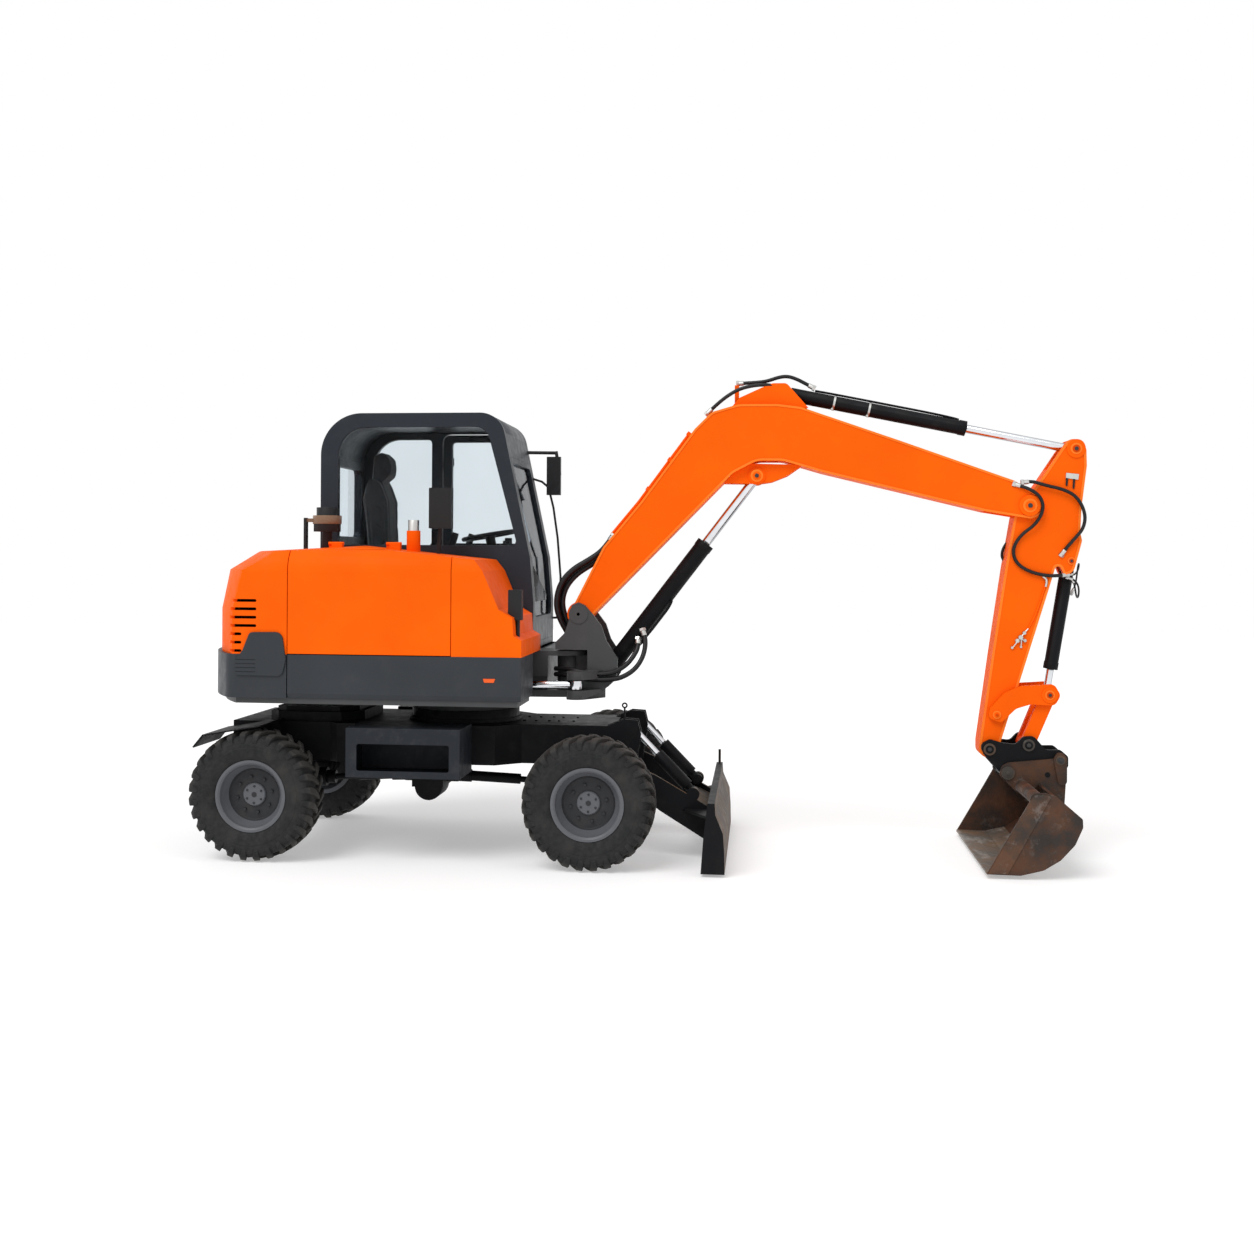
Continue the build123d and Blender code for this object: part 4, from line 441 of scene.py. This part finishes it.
def axes_round(axis):
    # The axis as a unit vector, and two directions across it
    axis = Vector(axis).normalized()
    across = axis.orthogonal().normalized()
    return axis, across, axis.cross(across)


def ring(builder, centre, axes, rise, radius, sides, share=1):
    axis, across, other = axes
    middle = Vector(centre) + axis * rise
    turns = (2 * pi * index / sides for index in range(sides))
    return [
        builder.verts.new(middle + (across * cos(turn) + other * sin(turn)) * radius * share)
        for turn in turns
    ]


def add_prism(builder, centre, axis, radius, height, sides=6, chamfer=0.12):
    # Bolt head or round boss with a chamfered top; centre is on its seat
    axes = axes_round(axis)
    levels = ((0, 1), (height * (1 - chamfer), 1), (height, 1 - chamfer))
    rings = [ring(builder, centre, axes, rise, radius, sides, share) for rise, share in levels]
    for lower, upper in zip(rings, rings[1:]):
        bridge(builder, lower, upper)
    builder.faces.new(rings[-1])
    builder.faces.new(list(reversed(rings[0])))


def add_band(builder, centre, axis, inner, outer, height, sides=48):
    # Ring of rectangular section; centre is the middle of its lower side
    axes = axes_round(axis)
    corners = ((outer, 0), (outer, height), (inner, height), (inner, 0))
    rings = [ring(builder, centre, axes, rise, radius, sides) for radius, rise in corners]
    for first, second in zip(rings, rings[1:] + rings[:1]):
        bridge(builder, first, second)
    bmesh.ops.recalc_face_normals(builder, faces=builder.faces)


def weld(piece):
    piece.modifiers.new("weld", "WELD").merge_threshold = 0.00002


def soften(piece, width, angle):
    modifier = piece.modifiers.new("soften", "BEVEL")
    modifier.width = width
    modifier.segments = 2
    modifier.limit_method = "ANGLE"
    modifier.angle_limit = radians(angle)
    return modifier


# ---------------------------------------------------------------- tubes
def route_curve(name, points, radius=0.0):
    data = bpy.data.curves.new(name, "CURVE")
    data.dimensions = "3D"
    data.resolution_u = 10
    data.bevel_depth = radius
    data.bevel_resolution = 4
    data.use_fill_caps = radius > 0
    spline = data.splines.new("NURBS")
    spline.points.add(len(points) - 1)
    for control, place in zip(spline.points, points):
        control.co = (*place, 1)
    spline.use_endpoint_u = True
    spline.order_u = 3
    return bpy.data.objects.new(name, data)


def sampled(curve, name):
    link(curve)
    mesh = evaluated_mesh(curve, name)
    bpy.context.collection.objects.unlink(curve)
    return mesh


def tube(name, points, diameter, material):
    # A round tube along the points' smooth line, with that line's own points
    line = sampled(route_curve(name + "_line", points), name + "_line")
    path = [vertex.co.copy() for vertex in line.vertices]
    mesh = sampled(route_curve(name + "_tube", points, diameter / 2), name)
    mesh.materials.clear()
    mesh.materials.append(material)
    mesh.shade_smooth()
    piece = bpy.data.objects.new(name, mesh)
    link(piece)
    return piece, path


# ---------------------------------------------------------------- hoses
HOSES = [
    # name, diameter, first body, second body, points
    ("foot_hose_1", 36, "swing_post", "boom", [
        (872, -46, 1268), (850, -46, 1330), (812, -48, 1410), (770, -50, 1480), (741, -50, 1560),
        (742, -50, 1650), (775, -49, 1745), (850, -48, 1825), (945, -46, 1880), (1030, -45, 1935),
        (1085, -45, 2002), (1120, -45, 2050)]),
    ("foot_hose_2", 36, "swing_post", "boom", [
        (892, -8, 1268), (870, -8, 1340), (838, -9, 1420), (800, -10, 1496), (776, -10, 1576),
        (780, -10, 1652), (812, -10, 1726), (878, -10, 1798), (964, -10, 1850), (1044, -10, 1908),
        (1098, -12, 1978), (1134, -14, 2034)]),
    ("foot_hose_3", 36, "swing_post", "boom", [
        (872, 30, 1268), (850, 30, 1330), (812, 30, 1412), (770, 28, 1484), (743, 28, 1566),
        (746, 28, 1655), (780, 28, 1748), (855, 27, 1826), (948, 26, 1882), (1032, 25, 1937),
        (1087, 24, 2004), (1122, 23, 2052)]),
    ("nose_hose_1", 32, "upper", "swing_post", [
        (742, -90, 1168), (800, -140, 1170), (880, -196, 1166), (960, -206, 1152),
        (1040, -206, 1144)]),
    ("nose_hose_2", 32, "upper", "swing_post", [
        (742, -90, 1132), (800, -136, 1132), (880, -190, 1122), (960, -202, 1110),
        (1040, -204, 1108)]),
    ("barrel_hose_1", 32, "swing_post", "boom_barrel", [
        (1040, -206, 1144), (1100, -200, 1146), (1160, -180, 1166), (1220, -150, 1206),
        (1262, -120, 1260), (1290, -90, 1320), (1285, -66, 1372)]),
    ("barrel_hose_2", 32, "swing_post", "boom_barrel", [
        (1040, -204, 1108), (1110, -200, 1108), (1190, -180, 1122), (1268, -150, 1170),
        (1316, -118, 1240), (1336, -90, 1320), (1330, -66, 1390), (1312, -54, 1430)]),
    ("arm_hose_right", 22, "boom", "arm", [
        (3718, -124, 2394), (3772, -124, 2406), (3869, -124, 2374), (3971, -126, 2352),
        (4058, -127, 2305), (4110, -127, 2200), (4100, -124, 2105), (4040, -118, 2034),
        (3990, -108, 1972), (3966, -96, 1934)]),
    ("arm_hose_left", 22, "boom", "arm", [
        (3668, -126, 2384), (3706, -138, 2372), (3772, -152, 2348), (3832, -156, 2300),
        (3850, -150, 2222), (3806, -134, 2130), (3712, -118, 2060), (3662, -114, 1969),
        (3688, -114, 1880), (3775, -114, 1826), (3883, -113, 1803), (3960, -105, 1806),
        (4010, -80, 1812)]),
    ("arm_hose_rear", 18, "arm", "arm", [
        (3690, 60, 2050), (3650, 60, 2012), (3622, 60, 1950), (3630, 60, 1900), (3672, 60, 1862)]),
    ("bucket_hose_upper", 11, "arm", "arm", [
        (4006, -72, 1810), (4046, -72, 1802), (4080, -62, 1840), (4094, -14, 1886),
        (4098, 44, 1872), (4096, 70, 1800), (4082, 56, 1730), (4052, 22, 1690)]),
    ("bucket_hose_lower", 12, "arm", "arm", [
        (4008, -62, 1796), (4046, -62, 1786), (4074, -61, 1758), (4085, -59, 1720),
        (4086, -44, 1681), (4087, -1, 1662), (4086, 41, 1681), (4084, 56, 1720), (4074, 46, 1760),
        (4051, 26, 1792)]),
    ("bend_hose_lower", 24, "boom", "boom", [
        (1722, -66, 2838), (1796, -76, 2913), (1907, -78, 2992), (1997, -74, 3022),
        (2100, -68, 3033), (2182, -60, 3020), (2249, -50, 2986)]),
    ("bend_hose_upper", 24, "boom", "boom", [
        (1921, 6, 3046), (1980, 0, 3050), (2040, -8, 3052), (2110, -12, 3058), (2190, -10, 3086),
        (2249, -8, 3092), (2308, -6, 3072), (2368, -2, 3040), (2420, 0, 3012)]),
]


def sleeve(name, path, body, radius, reach=0.052):
    # Pressed steel end of a hose, over the first stretch of its path
    walked = 0.0
    end = path[0]
    for a, b in zip(path, path[1:]):
        if walked >= reach:
            break
        walked += (b - a).length
        end = b
    builder = bmesh.new()
    axis = end - path[0]
    add_prism(builder, path[0], axis, radius + 0.0035, axis.length * 0.75, 20, 0.08)
    nut_seat = path[0] - axis.normalized() * 0.006
    add_prism(builder, nut_seat, axis, radius + 0.008, 0.018, 6, 0.1)
    finish_mesh(name, builder, zinc, body)


def add_hoses():
    # A hose between two bodies is fixed where it lies and follows neither; one with the same body
    # at both ends rides on it. The nose hoses have no sleeves and the barrel hoses only one at the
    # barrel, because they meet at the swing post.
    for name, diameter, first, second, points in HOSES:
        places = [at(*point) for point in points]
        piece, path = tube(name, places, diameter / 1000, hose_rubber)
        if first == second:
            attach(piece, first)
        else:
            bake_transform(piece)
        if not name.startswith(("nose", "barrel")):
            sleeve(name + "_start", path, first, diameter / 2000)
        if not name.startswith("nose"):
            holder = "arm_barrel" if name == "bend_hose_upper" else second
            sleeve(name + "_end", path[::-1], holder, diameter / 2000)


add_hoses()


# ---------------------------------------------------------------- pipes, bolts and plates
def pipe(name, points, diameter, material, body):
    piece, _ = tube(name, [at(*point) for point in points], diameter / 1000, material)
    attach(piece, body)


def bolts(name, rows, material, body):
    # Each row: place, axis, radius, height, sides, all in machine millimetres
    builder = bmesh.new()
    for place, axis, radius, height, sides in rows:
        add_prism(builder, at(*place), axis, radius / 1000, height / 1000, sides)
    finish_mesh(name, builder, material, body)


def plate(name, corners, y_near, y_far, material, body):
    # Flat plate in the side view between two distances from the machine's middle
    builder = bmesh.new()
    near = [builder.verts.new(at(x, y_near, z)) for x, z in corners]
    far = [builder.verts.new(at(x, y_far, z)) for x, z in corners]
    bridge(builder, near, far)
    builder.faces.new(near)
    builder.faces.new(list(reversed(far)))
    bmesh.ops.recalc_face_normals(builder, faces=builder.faces)
    edges = list(builder.edges)
    bmesh.ops.bevel(builder, geom=edges, offset=0.0012, segments=2, affect="EDGES")
    finish_mesh(name, builder, material, body)


# ---------------------------------------------------------------- pins
# Orange flanges are in painted highlight; the orange caps of the arm and rocker pins and the
# rocker pivot's lock are in painted shade
PINS = [
    # name, (x, z, distance out, radius) of each, body, flange, cap, lock, slot
    ("boom_pins", [(2052, 2437, 132, 40), (3768, 2248, 140, 44)],
     "boom", orange_painted_highlight, orange, engine_iron, "orange"),
    ("arm_pins", [(4055, 2610, 105, 36), (4030, 1899, 100, 24)],
     "arm", orange_painted_highlight, orange_painted_shade, engine_iron, "orange"),
    ("rocker_pins", [(3897, 1051, 137, 30)],
     "rocker", orange_painted_highlight, orange_painted_shade, engine_iron, "orange"),
    ("rocker_pivot", [(3572, 921, 135, 26)],
     "arm", orange_painted_highlight, orange, orange_painted_shade, "orange"),
    ("post_pins", [(901, 1531, 165, 36)],
     "swing_post", post_grey, post_grey, post_grey, "dark_grey"),
    ("hitch_pins", [(3527, 702, 144, 38), (3768, 733, 144, 38)],
     "bucket", pin_steel, black_paint, engine_iron, "black_paint"),
    ("front_bucket_pin", [(3636, 558, 174, 42)],
     "bucket", pin_steel, pin_steel, pin_steel, "worn_steel"),
    ("rear_bucket_pin", [(3957, 646, 180, 30)],
     "bucket", pin_steel, engine_iron, engine_iron, "worn_steel"),
]


def add_pins():
    # On both sides of the machine each pin shows a flange, a cap on it and a lock bolt on that
    for name, rows, body, flange, cap, lock, slot in PINS:
        for part, material, seat, share, height, sides in (
                ("flanges", flange, 0, 1, 3, 36),
                ("caps", cap, 3, 0.66, 4, 36),
                ("locks", lock, 7, 0.36, 6, 6)):
            heads = [
                ((x, side[1] * (out + seat), z), side, radius * share, height, sides)
                for x, z, out, radius in rows for side in (RIGHT, LEFT)
            ]
            bolts(f"{name}_{part}", heads, material, body)


# ---------------------------------------------------------------- fittings
def add_bucket_trim():
    # Black discs that paint the shade of each empty hole in the ears, and the strips welded on the
    # bucket's sides
    hole_shades = [((3880, side[1] * 165.5, 552), side, 17, 1.5, 28) for side in (RIGHT, LEFT)]
    bolts("painted_ear_hole_shades", hole_shades, black_paint, "bucket")
    strip = [(3436, 32), (3678, 468), (3700, 509), (3763, 512), (3802, 500), (3552, 33)]
    plate("bucket_strip_right", strip, -744, -751, side_steel, "bucket")
    plate("bucket_strip_left", strip, 751, 744, side_steel, "bucket")


def add_arm_fittings():
    # Check valve on the arm with its small pipes, the pipe that feeds it, and a blank tag
    bolts("arm_valve", [
        ((3700, -97, 1390), RIGHT, 15, 14, 6), ((3720, -97, 1412), RIGHT, 17, 18, 6),
        ((3742, -97, 1440), RIGHT, 13, 16, 6), ((3668, -97, 1346), RIGHT, 10, 12, 6),
        ((3722, -97, 1352), RIGHT, 9, 10, 6), ((3746, -97, 1392), RIGHT, 12, 14, 6),
    ], zinc, "arm")
    for number, points in enumerate((
            [(3700, -108, 1392), (3722, -112, 1416), (3744, -108, 1442), (3766, -104, 1468)],
            [(3712, -110, 1404), (3732, -112, 1398), (3750, -110, 1388)],
            [(3704, -108, 1392), (3688, -110, 1368), (3668, -106, 1344)],
            [(3722, -108, 1400), (3726, -110, 1376), (3720, -104, 1350)])):
        pipe(f"valve_pipe_{number + 1}", points, 9, zinc, "arm")
    pipe("arm_feed", [
        (3766, -104, 1468), (3800, -103, 1530), (3826, -103, 1600), (3852, -103, 1680),
        (3870, -103, 1742)], 9, orange, "arm")
    pipe("arm_elbow", [
        (3854, -108, 1798), (3872, -110, 1790), (3878, -110, 1764), (3871, -106, 1736)],
        15, zinc, "arm")

    tag = [(3994, 2456), (4073, 2448), (4068, 2412), (3992, 2424)]
    plate("arm_tag", tag, -100, -104, zinc, "arm")
    for number, corners in enumerate((
            [(3992, 2424), (4006, 2422), (4002, 2372), (3992, 2376)],
            [(4036, 2418), (4050, 2416), (4044, 2354), (4034, 2358)])):
        plate(f"arm_clip_{number + 1}", corners, -99, -106, black_plastic, "arm")


def beside_line(start, run, aside, steps, y):
    # Places at distances along a cylinder's line and away from it, in the side view
    line = [start + run * along + aside * away for along, away in steps]
    return [(place.x, y, place.y) for place in line]


def add_barrel_fittings():
    # Clamps round the arm barrel and the pipe that they hold
    start, end = Vector((2204, 2985)), Vector((4055, 2610))
    run = (end - start).normalized()
    rise = Vector((-run.y, run.x))
    for number, distance in enumerate((344, 572)):
        place = start + run * distance
        builder = bmesh.new()
        add_band(
            builder, at(place.x, 0, place.y), (run.x, 0, run.y), 0.0455, 0.0495, 0.013)
        low = place - rise * 44
        add_prism(builder, at(low.x, -30, low.y), RIGHT, 0.009, 0.014)
        finish_mesh(f"barrel_clamp_{number + 1}", builder, zinc, "arm_barrel")
    steps = ((214, 54), (300, 56), (572, 56), (1100, 56), (1150, 48))
    pipe("arm_barrel_pipe", beside_line(start, run, rise, steps, 0), 15, black_paint,
         "arm_barrel")

    # Pipes along the lower side of the boom barrel
    start, end = Vector((1075, 1144)), Vector((2052, 2437))
    run = (end - start).normalized()
    under = Vector((run.y, -run.x))
    for number, (first, last, y) in enumerate(((262, 330, -50), (322, 640, -34))):
        steps = ((first, 60), (first + 40, 65), ((first + last) / 2, 65), (last - 30, 65),
                 (last, 52))
        pipe(f"boom_barrel_pipe_{number + 1}", beside_line(start, run, under, steps, y), 18,
             black_paint, "boom_barrel")


def add_body_fittings():
    # Screws of the bolted cover on the chassis, and the reflector on the skirt
    screws = [((x, y, 825), (0, 0, 1), 9, 6, 6)
              for x in (542, 619, 708, 772, 869) for y in (-118, 118)]
    bolts("chassis_screws", screws, black_paint, "chassis")
    plate("side_reflector", [(408, 1160), (484, 1160), (476, 1136), (416, 1136)], -930, -934,
          reflector, "upper")


def add_cab_controls():
    # Joysticks on the consoles, and pedals on long levers
    for side, y in (("right", 130), ("left", 730)):
        pipe(f"joystick_{side}", [(-30, y, 1850), (-18, y, 1930), (4, y, 1990)], 16,
             black_plastic, "upper")
        bolts(f"grip_{side}", [((0, y, 1980), (0.3, 0, 1), 24, 86, 16)], black_plastic,
              "upper")
    for index, y in enumerate((330, 400, 480)):
        lever = [(430, y, 1560), (400, y, 1700), (345, y, 1850 + 30 * index),
                 (330, y, 1960 + 20 * index)]
        pipe(f"pedal_lever_{index + 1}", lever, 18, black_plastic, "upper")
        knob = ((330, y, 1950 + 20 * index), (0, 0, 1), 26, 44, 16)
        bolts(f"pedal_knob_{index + 1}", [knob], black_plastic, "upper")


add_pins()
add_bucket_trim()
add_arm_fittings()
add_barrel_fittings()
add_body_fittings()
add_cab_controls()


# ---------------------------------------------------------------- tyres
TYRE_RADIUS = 0.408
TYRE_STEPS = 120
LUGS_PER_SIDE = 28
CARCASS = [
    # distance from the wheel's middle plane, radius, in millimetres: half of the section
    (118, 207), (121, 222), (133, 230), (136, 236), (149, 258), (152.5, 288), (152.8, 303),
    (150.4, 306), (150.2, 318), (148, 334), (145, 346), (139, 361), (126, 372), (100, 379),
    (60, 383), (20, 385),
]
LUG_STATIONS = [
    # across, shift round the tyre, half width, top radius, foot radius
    (-8, 62, 13, 407.5, 380), (30, 42, 16, 408, 380), (72, 18, 18, 407, 376),
    (112, 2, 20, 403, 368), (138, -4, 20, 391, 352), (150, -6, 18, 368, 338),
    (152.4, -7, 15, 338, 318),
]
LUG_FLARE = 5
LUG_ROOT_INSET = 14


def tyre_point(builder, middle, across, radius, angle):
    return builder.verts.new(middle + Vector((
        radius / 1000 * sin(angle), across / 1000, radius / 1000 * cos(angle))))


def lug(builder, middle, hand, start_angle):
    # One bar of the tread, from the middle over the shoulder
    rows = []
    for across, shift, half_width, top, foot in LUG_STATIONS:
        row = []
        for radius, widen in ((foot, LUG_FLARE), (top, 0)):
            inset = LUG_ROOT_INSET if across > 140 and radius == foot else 0
            for edge in (-1, 1):
                round_tyre = (shift + edge * (half_width + widen)) / 1000
                row.append(tyre_point(
                    builder, middle, hand * (across - inset), radius,
                    start_angle + round_tyre / TYRE_RADIUS))
        rows.append((row[0], row[2], row[3], row[1]))
    for near, far in zip(rows, rows[1:]):
        bridge(builder, near, far, closed=False)
    builder.faces.new(rows[0])
    builder.faces.new(tuple(reversed(rows[-1])))


def make_tyre(corner, x, hand):
    middle = at(x, hand * WHEEL_PLANE, WHEEL_HEIGHT)
    builder = bmesh.new()
    section = CARCASS + [(-across, radius) for across, radius in reversed(CARCASS)]
    rings = [
        [tyre_point(builder, middle, across, radius, 2 * pi * index / TYRE_STEPS)
         for index in range(TYRE_STEPS)]
        for across, radius in section
    ]
    for first, second in zip(rings, rings[1:]):
        bridge(builder, first, second)
    pitch = 2 * pi / LUGS_PER_SIDE
    for row_hand, offset in ((1, 0), (-1, 0.5)):
        for index in range(LUGS_PER_SIDE):
            lug(builder, middle, row_hand, (index + offset) * pitch)
    bmesh.ops.recalc_face_normals(builder, faces=builder.faces)
    piece = finish_mesh(
        f"tread_{corner}", builder, tyre_rubber, f"wheel_{corner}", 34, middle)
    soften(piece, 0.0035, 38)
    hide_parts(f"tyre_{corner}")


def wheel_trim(corner, x, hand):
    # Wheel nuts on the disc, and screws round the plug of the hub cap
    builder = bmesh.new()
    axis = (0, hand, 0)
    disc = hand * (WHEEL_PLANE + 33)
    cap = disc + hand * 18
    for count, start, reach, seat, radius, height in (
            (8, 0.2, 112, disc, 0.011, 0.014), (6, 0.5, 52, cap, 0.0075, 0.005)):
        for index in range(count):
            angle = 2 * pi * index / count + start
            place = at(x + reach * cos(angle), seat, WHEEL_HEIGHT + reach * sin(angle))
            add_prism(builder, place, axis, radius, height)
    add_prism(builder, at(x, cap, WHEEL_HEIGHT), axis, 0.016, 0.003, 24)
    finish_mesh(f"wheel_nuts_{corner}", builder, disc_paint, f"wheel_{corner}")


for corner, x, hand in CORNERS:
    make_tyre(corner, x, hand)
    wheel_trim(corner, x, hand)

dress_nodes()


# ---------------------------------------------------------------- cushions
CUSHION_SWELL = 0.014
CHANNEL_DEPTH = 0.006
CHANNEL_WIDTH = 0.007
CLOTH_STEPS = 20


def swell(piece, mesh):
    # Blows the cushion up a little as cloth, held to the greatest swelling
    settings = piece.modifiers.new("cloth", "CLOTH").settings
    settings.use_pressure = True
    settings.uniform_pressure_force = 4
    settings.effector_weights.gravity = 0
    for step in range(1, CLOTH_STEPS + 1):
        bpy.context.scene.frame_set(step)
    swollen = evaluated_mesh(piece, piece.name + "_swollen")
    for vertex, moved in zip(mesh.vertices, swollen.vertices):
        way = moved.co - vertex.co
        if way.length > CUSHION_SWELL:
            way = way.normalized() * CUSHION_SWELL
        vertex.co += way
    piece.modifiers.clear()
    bpy.context.scene.frame_set(1)
    bpy.data.meshes.remove(swollen)


def make_cushion(node, channels):
    source = nodes[node]
    mesh = source.data.copy()
    mesh.transform(source.matrix_world)
    middle = sum((vertex.co for vertex in mesh.vertices), Vector()) / len(mesh.vertices)
    shrink = Matrix.Scale(0.955, 4)
    mesh.transform(Matrix.Translation(middle) @ shrink @ Matrix.Translation(-middle))
    piece = bpy.data.objects.new(node + "_pad", mesh)
    link(piece)
    remesh = piece.modifiers.new("remesh", "REMESH")
    remesh.mode = "VOXEL"
    remesh.voxel_size = 0.006
    mesh = evaluated_mesh(piece, node + "_pad")
    piece.modifiers.clear()
    piece.data = mesh
    swell(piece, mesh)
    # Sewn channels run fore and aft
    normals = [vertex.normal.copy() for vertex in mesh.vertices]
    for vertex, normal in zip(mesh.vertices, normals):
        depth = sum(exp(-((vertex.co.y - channel) / CHANNEL_WIDTH) ** 2) for channel in channels)
        vertex.co -= normal * CHANNEL_DEPTH * depth
    mesh.materials.clear()
    mesh.materials.append(seat_cloth)
    mesh.shade_smooth()
    smoother = piece.modifiers.new("smooth", "SUBSURF")
    smoother.levels = 1
    smoother.render_levels = 1
    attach(piece, "upper")
    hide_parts(node)


make_cushion("seat_cushion", (0.31, 0.55))
make_cushion("seat_back", (0.32, 0.54))


# ---------------------------------------------------------------- crisp edges
MIRROR_HEADS = (
    # spans in x, y and z, in machine millimetres
    ((-72, 82), (-302, -233), (2083, 2352)),
    ((543, 632), (-842, -778), (1513, 1702)),
    ((533, 637), (923, 977), (2350, 2631)),
)


def soften_mirror_heads():
    # The bevel is held to the heads' edges; the stays keep theirs
    piece = nodes["mirrors"]
    group = piece.vertex_groups.new(name="heads")
    for vertex in piece.data.vertices:
        place = machine_place(piece.matrix_world @ vertex.co)
        for spans in MIRROR_HEADS:
            if all(low < value < high for value, (low, high) in zip(place, spans)):
                group.add([vertex.index], 1, "REPLACE")
    weld(piece)
    flat = piece.modifiers.new("flat", "DECIMATE")
    flat.decimate_type = "DISSOLVE"
    flat.angle_limit = radians(1)
    rounding = piece.modifiers.new("round", "BEVEL")
    rounding.width = 0.016
    rounding.segments = 4
    rounding.limit_method = "VGROUP"
    rounding.vertex_group = "heads"


def soften_nodes():
    for name, piece in nodes.items():
        if not name.startswith(("tyre_", "seat_back", "seat_cushion", "mirrors")):
            weld(piece)
            soften(piece, 0.0025, 35).harden_normals = True


soften_nodes()
soften_mirror_heads()


# ---------------------------------------------------------------- floor and light
FLOOR_REACH = 30


def make_floor():
    # A white floor that takes a soft shadow and shows no edge against the white around it
    builder = bmesh.new()
    hands = ((-1, -1), (1, -1), (1, 1), (-1, 1))
    builder.faces.new([
        builder.verts.new((FLOOR_REACH * x, FLOOR_REACH * y, 0)) for x, y in hands])
    material, tree, shader = new_material("studio_floor")
    slow = spread(tree, noise(tree, 0.8, 3), 0.3, 0.7)
    colour_with(tree, shader, blend_colours(tree, slow, (0.7, 0.7, 0.7), (0.72, 0.72, 0.72)))
    shader.inputs["Roughness"].default_value = 1
    shader.inputs["Specular IOR Level"].default_value = 0
    shader.inputs["Emission Color"].default_value = (1, 1, 1, 1)
    shader.inputs["Emission Strength"].default_value = 0.36
    mesh = bpy.data.meshes.new("floor")
    builder.to_mesh(mesh)
    builder.free()
    mesh.materials.append(material)
    floor = bpy.data.objects.new("floor", mesh)
    floor.location.z = -0.001
    link(floor)


def make_light():
    # The surroundings are pure white where they are seen, also by reflection and through glass,
    # and weaker where they only give light
    world = bpy.data.worlds.new("studio")
    bpy.context.scene.world = world
    world.use_nodes = True
    tree = world.node_tree
    background = tree.nodes["Background"]
    rays = tree.nodes.new("ShaderNodeLightPath").outputs
    seen = combine(tree, "MAXIMUM", rays["Is Camera Ray"], rays["Is Glossy Ray"])
    seen = combine(tree, "MAXIMUM", seen, rays["Is Transmission Ray"])
    strength = spread(tree, seen, 0, 1, 0.68, 1.0)
    tree.links.new(strength, background.inputs["Strength"])
    background.inputs["Color"].default_value = (1, 1, 1, 1)

    sun = bpy.data.lights.new("key", "SUN")
    sun.energy = 1.6
    sun.angle = radians(34)
    lamp = bpy.data.objects.new("key", sun)
    lamp.rotation_euler = (radians(34), radians(-22), 0)
    link(lamp)


make_floor()
make_light()

scene = bpy.context.scene
scene.view_settings.view_transform = "Standard"
